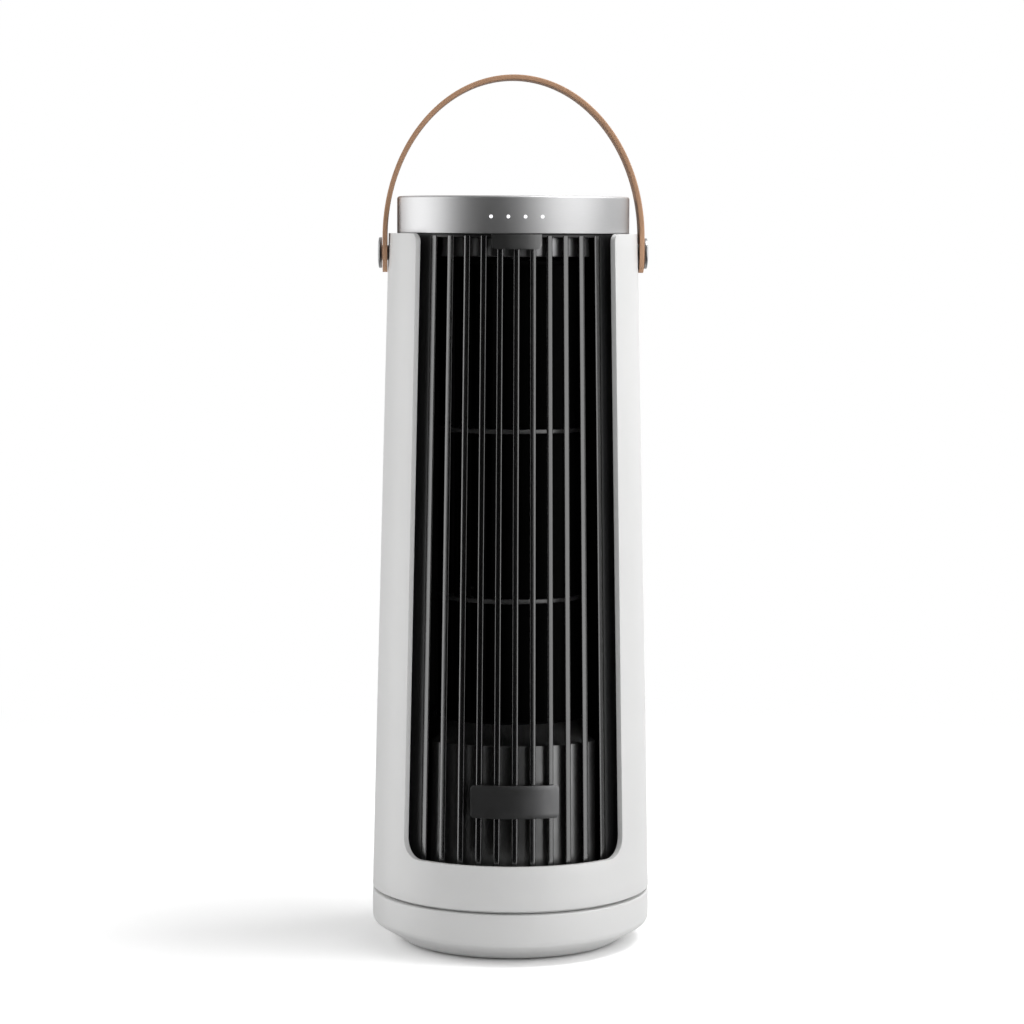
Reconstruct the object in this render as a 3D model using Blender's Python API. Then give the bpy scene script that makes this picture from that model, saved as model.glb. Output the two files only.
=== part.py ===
# Portable tower fan: a tapered head that swings on a low round base, under a leather carrying strap.
# Metres, +Z up, front towards -Y, origin on the floor under the centre of the base.

from math import acos, asin, atan2, cos, pi, radians, sin, sqrt, tan

import bmesh
import bpy
from mathutils import Matrix, Vector

# Clearances
FIT = 0.0003  # between a piece and its seat
SLIDE = 0.0004  # round a shaft, rivet or key that moves in a bore
SHARP_ANGLE = radians(32)
ROUND = 36  # sides of the large round shells
FINE_ROUND = 20  # sides of the round pieces inside
SMALL_ROUND = 12  # sides of shafts, keys and rivets
TINY_ROUND = 8  # sides of screws, pins and posts
ARC_STEPS = 16  # steps of the long arcs under the cap
CORNER_STEPS = 4  # steps of a rounded corner
PANEL_STEPS = 14  # steps across a curved panel
WINDOW_STEPS = 9  # steps across a cutter, odd so that its columns miss the panel's
KNEE_STEPS = 2  # steps of the base's lower edge
CUT_REACH = 0.0120  # how far a cutter runs past the wall that it opens
LAP = 0.0010  # how deep a joined form is set into the one that it grows from

# Base
BASE_RADIUS = 0.0650
BASE_HEIGHT = 0.0240  # floor to the top of the base
BASE_WALL = 0.0025
BASE_UNDER_RADIUS = 0.0510  # where the sloping underside ends
BASE_SLOPE_HEIGHT = 0.0085  # rise of the sloping underside
BASE_KNEE = 0.0036  # rounding between the sloping underside and the side
BASE_EDGE = 0.0006  # chamfer of the upper edge
FOOT_RADIUS = 0.0060
FOOT_SHOW = 0.0010  # how far the feet lift the base
FOOT_SEAT = 0.0008  # how deep they sit in the bottom plate
FOOT_EDGE = 0.0004
FOOT_INSET = 0.0125  # middle of a foot inside the bottom plate's edge
PLATE_THICKNESS = 0.0022
SCREW_INSET = 0.0045  # middle of a screw inside the bottom plate's edge
SCREW_HEAD_RADIUS = 0.0026
SCREW_RADIUS = 0.0013
SCREW_LENGTH = 0.0100
SCREW_BOSS_RADIUS = 0.0034
BALLAST_MARGIN = 0.0016  # between the ballast and the screw bosses
BALLAST_BORE = 0.0120
BALLAST_HEADROOM = 0.0007  # between the ballast and the gear well
INLET_RADIUS = 0.0046
INLET_HEADROOM = 0.0006  # between the socket and the base's ceiling
INLET_DEPTH = 0.0120
INLET_BORE = 0.0029
INLET_BORE_DEPTH = 0.0090
INLET_PIN = 0.0009
INLET_RECESS = 0.0010  # socket face behind the base's wall

# Swivel between base and head
WELL_RADIUS = 0.0330  # round well in the top of the base for the gears
WELL_DEPTH = 0.0095
POST_RADIUS = 0.0080
POST_BORE = 0.0050
POST_FLANGE_RADIUS = 0.0130
POST_FLANGE = 0.0025
GEAR_MODULE = 0.0010
GEAR_TEETH = 36
PINION_TEETH = 12
GEAR_FACE = 0.0045
GEAR_ADDENDUM = 0.0008
PINION_ADDENDUM = 0.0010
DEDENDUM = 0.00125
PRESSURE_ANGLE = radians(20)
TOOTH_THINNING = 0.00016
THRUST_INSET = 0.0100  # ring's outer edge inside the base's side
THRUST_WIDTH = 0.0080
THRUST_SEAT = 0.0013  # depth of its groove in the base
THRUST_STAND = 0.0012  # its height above the base
BUSH_WALL = 0.0020
BUSH_FLANGE = 0.0012
HUB_WALL = 0.0026
HUB_HEIGHT = 0.0029  # above the floor of the head
WASHER_THICKNESS = 0.0008
CIRCLIP_THICKNESS = 0.0008
CIRCLIP_GROOVE = 0.0008
CIRCLIP_WIDTH = 0.0024
CIRCLIP_MOUTH = radians(25)  # half of the gap between its ends
POST_LEAD = 0.0008  # post above the circlip

# Head
GROOVE_HEIGHT = 0.0017  # visible groove between base and head
HEAD_HEIGHT = 0.3053
HEAD_TOP_RADIUS = 0.0577
SHELL_WALL = 0.0026
SHELL_EDGE = 0.0006
FLOOR_THICKNESS = 0.0030
FLOOR_RIM_WIDTH = 0.0025
FLOOR_RIM_HEIGHT = 0.0050
OPENING_HALF_ANGLE = radians(51.3)
OPENING_SILL = 0.0201  # head's lower edge to the foot of the opening
OPENING_CORNER = 0.0095
OPENING_SHOULDER = 0.0037
OPENING_STEPS = 6  # steps of the opening's lower corners
REAR_HALF_ANGLE = radians(58)
REAR_SILL = 0.0223
REAR_HEADER = 0.0150
REAR_CORNER = 0.0080
REAR_RECESS = 0.0005
REAR_PANEL = 0.0024
REAR_BORDER = 0.0050
REAR_BARS = 13
REAR_BAR_WIDTH = 0.0022
REAR_BAR_DEPTH = 0.0018
REAR_BAR_SETBACK = 0.0002  # bars behind the panel's face
REAR_TIES = 2
REAR_TIE_HEIGHT = 0.0024
REAR_TIE_DEPTH = 0.0012

# Front grille
GRILLE_INSET = 0.0060  # fin fronts behind the shell's outer face
GRILLE_WALL = 0.0020
GRILLE_HALF_ANGLE = radians(62)
GRILLE_WINDOW_ANGLE = radians(46.3)
GRILLE_WINDOW_SILL = 0.0143
GRILLE_TOP_RAIL = 0.0015
GRILLE_SEAT = 0.0060  # how far the fins run down behind the window's sill
FIN_SIDE_COUNT = 5  # fins on each side of the middle one
FIN_PITCH = 0.0083  # at the widest part of the head
FIN_WIDTH = 0.0027
FIN_DEPTH = 0.0085
FIN_PROUD = 0.0003
FIN_NOSE_STEPS = 4  # steps round a fin's front edge
BADGE_WIDTH = 0.0400
BADGE_HEIGHT = 0.0150
BADGE_CENTRE = 0.0489  # above the head's lower edge
BADGE_THICKNESS = 0.0012
BADGE_CORNER = 0.0024
BADGE_CLIP = 0.0020
BADGE_CLIP_REACH = 0.0020  # clips behind the fins
WINDOW_WIDTH = 0.0225
WINDOW_HEIGHT = 0.0067
WINDOW_CORNER = 0.0025
WINDOW_THICKNESS = 0.0011
WINDOW_PIN = 0.0018

# Air path and drive
WHEEL_RADIUS = 0.0350
WHEEL_BOTTOM = 0.0793  # above the head's lower edge
WHEEL_HEIGHT = 0.2140
WHEEL_PLATE = 0.0020
WHEEL_STAGE = 0.0780  # from the top down, ring to ring
WHEEL_RINGS = 2
WHEEL_RING_WIDTH = 0.0085
WHEEL_HUB_RADIUS = 0.0060
WHEEL_HUB_HEIGHT = 0.0080
BLADE_COUNT = 14
BLADE_SETBACK = 0.0005  # tips inside the wheel's rim
BLADE_THICKNESS = 0.0010
BLADE_CHORD = 0.0068
BLADE_SWEEP = radians(9)
BLADE_STEPS = 2
SHAFT_RADIUS = 0.0025
SHAFT_LENGTH = 0.0380
STUB_LENGTH = 0.0160
HOUSING_RADIUS = 0.0362
HOUSING_WALL = 0.0020
HOUSING_SHOULDER = 0.0717  # top of the straight wall above the head's lower edge
HOUSING_CONE = 0.0060
HOUSING_EDGE = 0.0015
HOUSING_MOUTH = 0.0045
MOTOR_RADIUS = 0.0260
MOTOR_HEIGHT = 0.0280
MOTOR_NECK_RADIUS = 0.0090
STEPPER_RADIUS = 0.0100
STEPPER_HEIGHT = 0.0145
STEPPER_SHAFT = 0.0015
BEARING_CUP_RADIUS = 0.0350
BEARING_CUP_HEIGHT = 0.0105
BEARING_CUP_WALL = 0.0020
BEARING_BOSS_WALL = 0.0025
UPPER_BUSH_WALL = 0.0035
UPPER_BUSH_HEIGHT = 0.0070
DUCT_WALL = 0.0018
DUCT_MARGIN = 0.0016  # between the ducts' middle line and the cap's collar
SCROLL_CLEAR = 0.0050  # scroll's middle line outside the wheel, where it is closest
SCROLL_START = radians(-62)
SCROLL_END = radians(-150)
SCROLL_STEPS = 12
STABILISER_CLEAR = 0.0026  # the same at the stabiliser's tongue
STABILISER_START = radians(62)
STABILISER_TONGUE = radians(76)
STABILISER_END = radians(104)
STABILISER_STEPS = 4

# Cap and controls
CAP_SETBACK = 0.0039  # cap's face behind the head's upper edge
CAP_HEIGHT = 0.0170
CAP_WALL = 0.0015
CAP_EDGE = 0.0004
DECK_THICKNESS = 0.0020
COLLAR_HALF_ANGLE = radians(114)  # each way from the back
COLLAR_HEIGHT = 0.0140
COLLAR_WALL = 0.0048
STANDOFF_RADIUS = 0.0025
STANDOFF_HEIGHT = 0.0022
STANDOFF_INSET = 0.0080  # middle of a standoff inside the board's edge
BOARD_MARGIN = 0.0042  # between the board and the panel's skirt
BOARD_THICKNESS = 0.0016
SWITCH_SIDE = 0.0060
SWITCH_HEIGHT = 0.0028
SWITCH_KNOB = 0.0017
SWITCH_KNOB_HEIGHT = 0.0008
LED_COUNT = 4
LED_PITCH = 0.0077
LED_RADIUS = 0.00075
LED_HEIGHT = 0.0076  # above the cap's lower edge
GUIDE_DEPTH = 0.0080
GUIDE_THICKNESS = 0.0018
GUIDE_END = 0.0030  # bar past the last light
LED_SINK = 0.0002  # lights behind the cap's face
PANEL_THICKNESS = 0.0024
PANEL_RECESS = 0.0006
PANEL_SKIRT = 0.0015
PANEL_SKIRT_ANGLE = radians(148)
BUTTON_RADIUS = 0.0060
BUTTON_PITCH = 0.0180
BUTTON_ROW = 0.0220  # row of keys in front of the middle
BUTTON_PROUD = 0.0004
BUTTON_DISH = 0.0004
BUTTON_EDGE = 0.0004
BUTTON_FLANGE = 0.0011
BUTTON_FLANGE_LIP = 0.0012
BUTTON_STEM = 0.0020
BUTTON_TRAVEL = 0.0008

# Handle
PIVOT_DROP = 0.0090  # pivot below the head's upper edge
STRAP_GAP = 0.0004
STRAP_WIDTH = 0.0180
STRAP_THICKNESS = 0.0022
STRAP_BEVEL = 0.0005
STRAP_STRAIGHT = 0.0071  # pivot to where the arch begins
STRAP_ARCH = 0.0747  # height of the arch on its outer face
STRAP_END_ANGLE = radians(80)  # how far the round ends close
STRAP_END_STEPS = 4
STRAP_STEPS = 24
RIVET_RADIUS = 0.0071
RIVET_HEAD = 0.0019
RIVET_DOME = 0.0005
RIVET_STEM = 0.0034
EYELET_WALL = 0.0007
EYELET_FLANGE = 0.0020
EYELET_FLANGE_THICKNESS = 0.0006

# Levels and radii that follow from the sizes above
plate_top = FOOT_SHOW + PLATE_THICKNESS
plate_radius = BASE_UNDER_RADIUS - BASE_WALL
foot_circle = plate_radius - FOOT_INSET
screw_circle = plate_radius - SCREW_INSET
well_floor = BASE_HEIGHT - WELL_DEPTH
ballast_bottom = plate_top + FIT
ballast_top = well_floor - BASE_WALL - BALLAST_HEADROOM
ballast_radius = screw_circle - SCREW_BOSS_RADIUS - BALLAST_MARGIN
thrust_radius = BASE_RADIUS - THRUST_INSET
thrust_floor = BASE_HEIGHT - THRUST_SEAT
base_ceiling = thrust_floor - BASE_WALL
inlet_height = base_ceiling - INLET_RADIUS - INLET_HEADROOM
gear_bottom = well_floor + FIT + POST_FLANGE + FIT
gear_radius = GEAR_MODULE * GEAR_TEETH / 2
pinion_radius = GEAR_MODULE * PINION_TEETH / 2
pinion_place = Vector((0, gear_radius + pinion_radius, gear_bottom))
head_bottom = BASE_HEIGHT + GROOVE_HEIGHT
head_top = head_bottom + HEAD_HEIGHT
floor_radius = BASE_RADIUS - SHELL_WALL - FIT
thrust_top = BASE_HEIGHT + THRUST_STAND
floor_under = thrust_top + FIT
floor_top = floor_under + FLOOR_THICKNESS
hub_top = floor_top + HUB_HEIGHT
washer_bottom = hub_top + FIT
circlip_bottom = washer_bottom + WASHER_THICKNESS + FIT
circlip_top = circlip_bottom + CIRCLIP_THICKNESS
bush_bore = POST_RADIUS + FIT
bush_radius = bush_bore + BUSH_WALL
pivot = Vector((0, 0, head_top - PIVOT_DROP))
cap_top = head_top + CAP_HEIGHT
cap_radius = HEAD_TOP_RADIUS - CAP_SETBACK
cap_bore = cap_radius - CAP_WALL
deck_radius = cap_bore - FIT
skirt_bore = deck_radius - PANEL_SKIRT - FIT
board_radius = skirt_bore - BOARD_MARGIN
collar_bore = HEAD_TOP_RADIUS - SHELL_WALL - FIT - COLLAR_WALL
duct_far = collar_bore - DUCT_MARGIN
deck_bottom = head_top + FIT
deck_top = deck_bottom + DECK_THICKNESS
board_bottom = deck_top + STANDOFF_HEIGHT + FIT
board_top = board_bottom + BOARD_THICKNESS
switch_top = board_top + SWITCH_HEIGHT + SWITCH_KNOB_HEIGHT
panel_top = cap_top - PANEL_RECESS
panel_bottom = panel_top - PANEL_THICKNESS
wheel_bottom = head_bottom + WHEEL_BOTTOM
wheel_top = wheel_bottom + WHEEL_HEIGHT
housing_shoulder = head_bottom + HOUSING_SHOULDER
housing_top = housing_shoulder + HOUSING_CONE
cup_bottom = head_top - BEARING_CUP_HEIGHT
shaft_bore = SHAFT_RADIUS + SLIDE
button_names = ("power_button", "speed_button", "oscillation_button")


def shell_radius(height):
    """Outer radius of the tapered head at a height."""
    share = (height - head_bottom) / HEAD_HEIGHT
    return BASE_RADIUS + share * (HEAD_TOP_RADIUS - BASE_RADIUS)


def polar(radius, angle, height=0.0):
    """A point round the Z axis: angle 0 is the front, and positive angles go to +X."""
    return Vector((radius * sin(angle), -radius * cos(angle), height))


def clear_scene():
    for obj in list(bpy.data.objects):
        bpy.data.objects.remove(obj, do_unlink=True)


def material(name, colour, roughness, metallic=0.0):
    made = bpy.data.materials.new(name)
    made.use_nodes = True
    shader = made.node_tree.nodes["Principled BSDF"]
    shader.inputs["Base Color"].default_value = (*colour, 1.0)
    shader.inputs["Roughness"].default_value = roughness
    shader.inputs["Metallic"].default_value = metallic
    made.diffuse_color = (*colour, 1.0)
    return made


# Mesh forms

def lofted(loops, closed=False):
    """A closed skin through loops of points, with flat ends unless the last loop meets the first."""
    mesh = bmesh.new()
    rings = [[mesh.verts.new(point) for point in loop] for loop in loops]
    pairs = list(zip(rings, rings[1:]))
    if closed:
        pairs.append((rings[-1], rings[0]))
    else:
        mesh.faces.new(rings[0])
        mesh.faces.new(rings[-1])
    for first, second in pairs:
        for i in range(len(first)):
            j = (i + 1) % len(first)
            mesh.faces.new((first[i], first[j], second[j], second[i]))
    bmesh.ops.recalc_face_normals(mesh, faces=mesh.faces)
    return mesh


def turned(profile, sides):
    """A profile of (radius, height) points, spun once round the Z axis."""
    mesh = bmesh.new()
    points = [mesh.verts.new((radius, 0, height)) for radius, height in profile]
    edges = [mesh.edges.new(pair) for pair in zip(points, points[1:] + points[:1])]
    bmesh.ops.spin(
        mesh, geom=points + edges, cent=(0, 0, 0), axis=(0, 0, 1), angle=2 * pi, steps=sides, use_merge=True
    )
    bmesh.ops.remove_doubles(mesh, verts=mesh.verts, dist=1e-6)
    axis = [edge for edge in mesh.edges if not edge.link_faces]
    bmesh.ops.delete(mesh, geom=axis, context="EDGES")
    bmesh.ops.recalc_face_normals(mesh, faces=mesh.faces)
    return mesh


def turned_arc(profile, start, end, sides):
    """A profile carried part of the way round the Z axis, with flat ends."""
    angles = [start + (end - start) * i / sides for i in range(sides + 1)]
    return lofted([[polar(radius, angle, height) for radius, height in profile] for angle in angles])


def cylinder(radius, low, high, sides=SMALL_ROUND):
    return turned([(0, low), (radius, low), (radius, high), (0, high)], sides)


def tube(bore, radius, low, high, sides=SMALL_ROUND):
    return turned([(bore, low), (radius, low), (radius, high), (bore, high)], sides)


def prism(outline, low, high):
    """A flat outline of (x, y) points, raised from one height to another."""
    return lofted([[Vector((x, y, height)) for x, y in outline] for height in (low, high)])


def box(low, high):
    outline = [(low[0], low[1]), (high[0], low[1]), (high[0], high[1]), (low[0], high[1])]
    return prism(outline, low[2], high[2])


def merged(meshes):
    """Several meshes that don't touch, as one."""
    whole = bmesh.new()
    for mesh in meshes:
        data = bpy.data.meshes.new("piece")
        mesh.to_mesh(data)
        mesh.free()
        whole.from_mesh(data)
        bpy.data.meshes.remove(data)
    return whole


def moved(mesh, place=(0, 0, 0), turn=0.0, axis="Z"):
    """The mesh turned about an axis through the origin, then shifted."""
    mesh.transform(Matrix.Translation(place) @ Matrix.Rotation(turn, 4, axis))
    return mesh


def along_x(mesh, side):
    """A mesh turned round Z laid along the X axis, so that its +Z points to +X or -X."""
    return moved(mesh, turn=side * pi / 2, axis="Y")


def arc_panel(columns, inner, outer, turn=0.0):
    """A curved panel through upright columns (angle, low, high), between two radii that depend on height."""
    loops = []
    for angle, low, high in columns:
        corners = ((inner(low), low), (outer(low), low), (outer(high), high), (inner(high), high))
        loops.append([polar(radius, angle + turn, height) for radius, height in corners])
    return lofted(loops)


def even_columns(half_angle, low, high, steps):
    """Columns of a panel with square corners, at equal steps. An odd count leaves none in the middle."""
    return [(half_angle * (2 * i / steps - 1), low, high) for i in range(steps + 1)]


def rounded_columns(half_angle, low, high, radius, corner, steps=8, round_top=True):
    """Columns of a panel whose corners are rounded. The radius turns lengths round the arc into angles."""
    corner_angle = corner / radius
    right = []
    for i in range(1, CORNER_STEPS + 1):
        turn = pi / 2 * i / CORNER_STEPS
        rise = corner * (1 - cos(turn))
        top = high - rise if round_top else high
        right.append((half_angle - corner_angle * (1 - sin(turn)), low + rise, top))
    left = [(-angle, bottom, top) for angle, bottom, top in reversed(right)]
    return left + even_columns(half_angle - corner_angle, low, high, steps) + right


# Objects

def body(name, place=(0, 0, 0), parent=None):
    """An empty on a body's axis, which carries the body's pieces."""
    empty = bpy.data.objects.new(name, None)
    empty.location = place
    empty.parent = parent
    bpy.context.scene.collection.objects.link(empty)
    return empty


def solid(name, mesh, finish, carrier):
    """An object with its origin on its carrier's axis."""
    origin = carrier.location
    mesh.transform(Matrix.Translation(-origin))
    data = bpy.data.meshes.new(name)
    mesh.to_mesh(data)
    mesh.free()
    data.materials.append(finish)
    data.shade_smooth()
    data.set_sharp_from_angle(angle=SHARP_ANGLE)
    obj = bpy.data.objects.new(name, data)
    obj.parent = carrier
    bpy.context.scene.collection.objects.link(obj)
    return obj


def combine(obj, mesh, operation):
    """A live Boolean with a hidden tool: DIFFERENCE cuts the mesh out, UNION joins it on."""
    name = f"{obj.name}_{operation.lower()}_{len(obj.modifiers) + 1}"
    tool = solid(name, mesh, obj.data.materials[0], obj.parent)
    tool.hide_render = True
    tool.display_type = "WIRE"
    modifier = obj.modifiers.new(tool.name, "BOOLEAN")
    modifier.operation = operation
    modifier.solver = "EXACT"
    modifier.object = tool
    return obj


def cut(obj, mesh):
    return combine(obj, mesh, "DIFFERENCE")


def join(obj, mesh):
    return combine(obj, mesh, "UNION")


# Base and swivel

def base_knee(slope_top):
    """The arc that rounds the corner between the sloping underside and the upright side."""
    slope = atan2(BASE_SLOPE_HEIGHT, BASE_RADIUS - BASE_UNDER_RADIUS)
    turn = pi / 2 - slope
    centre_radius = BASE_RADIUS - BASE_KNEE
    centre_height = slope_top + BASE_KNEE * tan(turn / 2)
    knee = []
    for i in range(KNEE_STEPS + 1):
        angle = -turn * (1 - i / KNEE_STEPS)
        knee.append((centre_radius + BASE_KNEE * cos(angle), centre_height + BASE_KNEE * sin(angle)))
    return knee


def base_housing(finish, carrier):
    """Turned shell with a sloping underside, a groove in its top for the thrust ring, and the gear well."""
    slope_top = FOOT_SHOW + BASE_SLOPE_HEIGHT
    knee = base_knee(slope_top)
    inside = BASE_RADIUS - BASE_WALL
    lip = BASE_UNDER_RADIUS - BASE_WALL + FIT
    groove_in = thrust_radius - THRUST_WIDTH - FIT
    groove_out = thrust_radius + FIT
    profile = [
        (lip, FOOT_SHOW),
        (BASE_UNDER_RADIUS, FOOT_SHOW),
        *knee,
        (BASE_RADIUS, BASE_HEIGHT - BASE_EDGE),
        (BASE_RADIUS - BASE_EDGE, BASE_HEIGHT),
        (groove_out, BASE_HEIGHT),
        (groove_out, thrust_floor),
        (groove_in, thrust_floor),
        (groove_in, BASE_HEIGHT),
        (WELL_RADIUS, BASE_HEIGHT),
        (WELL_RADIUS, well_floor),
        (POST_BORE + FIT, well_floor),
        (POST_BORE + FIT, well_floor - BASE_WALL),
        (WELL_RADIUS + BASE_WALL, well_floor - BASE_WALL),
        (WELL_RADIUS + BASE_WALL, base_ceiling),
        (inside, base_ceiling),
        (inside, knee[-1][1]),
        (lip, plate_top + BASE_WALL / 2),
    ]
    housing = solid("base_housing", turned(profile, ROUND), finish, carrier)
    bosses = []
    holes = []
    for quarter in range(4):
        boss = cylinder(SCREW_BOSS_RADIUS, plate_top + FIT, base_ceiling + BASE_WALL / 2, TINY_ROUND)
        bosses.append(moved(boss, screw_place(quarter)))
        hole = cylinder(SCREW_RADIUS + FIT, FOOT_SHOW, FOOT_SHOW + SCREW_LENGTH + FIT, TINY_ROUND)
        holes.append(moved(hole, screw_place(quarter)))
    join(housing, merged(bosses))
    inlet = moved(cylinder(INLET_RADIUS + FIT, -BASE_WALL * 2, BASE_WALL * 2), turn=pi / 2, axis="X")
    holes.append(moved(inlet, (0, inside, inlet_height)))
    cut(housing, merged(holes))


def screw_place(quarter):
    return polar(screw_circle, radians(45 + 90 * quarter))


def foot_place(quarter):
    return polar(foot_circle, radians(90 * quarter))


def base_plate(finish, carrier):
    """Round bottom plate with seats for the feet and countersunk holes for the screws."""
    plate = solid("base_plate", cylinder(plate_radius, FOOT_SHOW, plate_top, FINE_ROUND), finish, carrier)
    cutters = []
    for quarter in range(4):
        seat = cylinder(FOOT_RADIUS + FIT, -FOOT_SHOW, FOOT_SHOW + FOOT_SEAT + FIT)
        cutters.append(moved(seat, foot_place(quarter)))
        countersink = turned(
            [
                (0, -FOOT_SHOW),
                (SCREW_HEAD_RADIUS + FIT, -FOOT_SHOW),
                (SCREW_HEAD_RADIUS + FIT, FOOT_SHOW + PLATE_THICKNESS / 2),
                (SCREW_RADIUS + FIT, FOOT_SHOW + PLATE_THICKNESS / 2),
                (SCREW_RADIUS + FIT, plate_top + FIT),
                (0, plate_top + FIT),
            ],
            TINY_ROUND,
        )
        cutters.append(moved(countersink, screw_place(quarter)))
    cut(plate, merged(cutters))


def feet_and_screws(rubber, steel, carrier):
    for quarter in range(4):
        foot = turned(
            [
                (0, 0),
                (FOOT_RADIUS - FOOT_EDGE, 0),
                (FOOT_RADIUS, FOOT_EDGE),
                (FOOT_RADIUS, FOOT_SHOW + FOOT_SEAT),
                (0, FOOT_SHOW + FOOT_SEAT),
            ],
            SMALL_ROUND,
        )
        solid(f"rubber_foot_{quarter + 1}", moved(foot, foot_place(quarter)), rubber, carrier)
        under_seat = FOOT_SHOW + PLATE_THICKNESS / 2 - FIT
        screw = turned(
            [
                (0, FOOT_SHOW + FIT),
                (SCREW_HEAD_RADIUS, FOOT_SHOW + FIT),
                (SCREW_HEAD_RADIUS, under_seat),
                (SCREW_RADIUS, under_seat),
                (SCREW_RADIUS, FOOT_SHOW + SCREW_LENGTH),
                (0, FOOT_SHOW + SCREW_LENGTH),
            ],
            TINY_ROUND,
        )
        solid(f"base_screw_{quarter + 1}", moved(screw, screw_place(quarter)), steel, carrier)


def base_insides(steel, dark, carrier):
    """Ballast disc on the bottom plate, and the socket for the power lead at the back."""
    ballast = tube(BALLAST_BORE, ballast_radius, ballast_bottom, ballast_top, FINE_ROUND)
    solid("ballast_weight", ballast, steel, carrier)
    socket = turned(
        [
            (0, 0),
            (INLET_RADIUS, 0),
            (INLET_RADIUS, INLET_DEPTH),
            (INLET_BORE, INLET_DEPTH),
            (INLET_BORE, INLET_DEPTH - INLET_BORE_DEPTH),
            (INLET_PIN, INLET_DEPTH - INLET_BORE_DEPTH),
            (INLET_PIN, INLET_DEPTH - 2 * INLET_PIN),
            (0, INLET_DEPTH - INLET_PIN),
        ],
        SMALL_ROUND,
    )
    moved(socket, turn=-pi / 2, axis="X")
    moved(socket, (0, BASE_RADIUS - INLET_RECESS - INLET_DEPTH, inlet_height))
    solid("power_inlet", socket, dark, carrier)


def swivel(plastic, white_plastic, steel, carrier):
    """Hollow post on the well's floor, with the fixed gear, the thrust ring and what keeps the head down."""
    foot = well_floor + FIT
    neck = POST_RADIUS - CIRCLIP_GROOVE
    post = turned(
        [
            (POST_BORE, foot),
            (POST_FLANGE_RADIUS, foot),
            (POST_FLANGE_RADIUS, foot + POST_FLANGE),
            (POST_RADIUS, foot + POST_FLANGE),
            (POST_RADIUS, circlip_bottom - FIT / 2),
            (neck, circlip_bottom - FIT / 2),
            (neck, circlip_top + FIT),
            (POST_RADIUS, circlip_top + FIT),
            (POST_RADIUS, circlip_top + POST_LEAD),
            (POST_BORE, circlip_top + POST_LEAD),
        ],
        FINE_ROUND,
    )
    solid("swivel_post", post, plastic, carrier)
    outline = gear_outline(GEAR_TEETH, (-DEDENDUM, GEAR_ADDENDUM))
    gear = prism(outline, gear_bottom, gear_bottom + GEAR_FACE)
    fixed_gear = solid("fixed_gear", gear, white_plastic, carrier)
    cut(fixed_gear, cylinder(POST_RADIUS + FIT, gear_bottom - FIT, gear_bottom + GEAR_FACE + FIT))
    ring = tube(thrust_radius - THRUST_WIDTH, thrust_radius, thrust_floor + FIT, thrust_top, ROUND)
    solid("thrust_ring", ring, white_plastic, carrier)
    washer = tube(bush_bore, bush_radius + HUB_WALL / 2, washer_bottom, washer_bottom + WASHER_THICKNESS)
    solid("retaining_washer", washer, steel, carrier)
    clip_bore = neck + FIT
    clip_radius = clip_bore + CIRCLIP_WIDTH
    clip_profile = [
        (clip_bore, circlip_bottom),
        (clip_radius, circlip_bottom),
        (clip_radius, circlip_top),
        (clip_bore, circlip_top),
    ]
    clip = turned_arc(clip_profile, CIRCLIP_MOUTH, 2 * pi - CIRCLIP_MOUTH, SMALL_ROUND)
    solid("circlip", clip, steel, carrier)


def gear_outline(teeth, levels, turn=0.0):
    """Teeth with involute flanks through levels above the pitch circle, thinned for backlash.

    A tooth points along +X where turn is 0.
    """
    pitch = GEAR_MODULE * teeth / 2
    base = pitch * cos(PRESSURE_ANGLE)
    at_pitch = pi / (2 * teeth) - TOOTH_THINNING / (2 * pitch)

    def involute(angle):
        return tan(angle) - angle

    def half_angle(radius):
        flank = acos(min(1.0, base / radius))
        return at_pitch + involute(PRESSURE_ANGLE) - involute(flank)

    radii = [pitch + level for level in levels]
    outline = []
    for tooth in range(teeth):
        centre = turn + 2 * pi * tooth / teeth
        rising = [(radius, centre - half_angle(radius)) for radius in radii]
        falling = [(radius, centre + half_angle(radius)) for radius in reversed(radii)]
        outline += [(radius * cos(angle), radius * sin(angle)) for radius, angle in rising + falling]
    return outline


def oscillation_pinion(finish, carrier):
    """Pinion with the stepper's shaft, its teeth in the gaps of the fixed gear."""
    outline = gear_outline(PINION_TEETH, (-DEDENDUM, 0, PINION_ADDENDUM), turn=pi / PINION_TEETH)
    pinion = prism(outline, pinion_place.z, pinion_place.z + GEAR_FACE)
    moved(pinion, (pinion_place.x, pinion_place.y, 0))
    made = solid("oscillation_pinion", pinion, finish, carrier)
    shaft = cylinder(STEPPER_SHAFT, pinion_place.z + FIT, floor_top + FIT + STEPPER_HEIGHT / 2, TINY_ROUND)
    join(made, moved(shaft, (pinion_place.x, pinion_place.y, 0)))


# Head

def head_floor(finish, carrier):
    """Turntable of the head: a plate with a hub for the bush, and a rim that stands inside the shell."""
    rim = floor_radius - FLOOR_RIM_WIDTH
    hub = bush_radius + FIT + HUB_WALL
    profile = [
        (bush_radius + FIT, floor_under),
        (rim, floor_under),
        (rim, BASE_HEIGHT + FIT),
        (floor_radius, BASE_HEIGHT + FIT),
        (floor_radius, head_bottom + FIT),
        (shell_radius(floor_top + FLOOR_RIM_HEIGHT) - SHELL_WALL - FIT, floor_top + FLOOR_RIM_HEIGHT),
        (rim, floor_top + FLOOR_RIM_HEIGHT),
        (rim, floor_top),
        (hub, floor_top),
        (hub, hub_top),
        (bush_radius + FIT, hub_top),
    ]
    floor = solid("head_floor", turned(profile, ROUND), finish, carrier)
    hole = cylinder(STEPPER_SHAFT + SLIDE, floor_under - FIT, floor_top + FIT, TINY_ROUND)
    cut(floor, moved(hole, (pinion_place.x, pinion_place.y, 0)))


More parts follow.
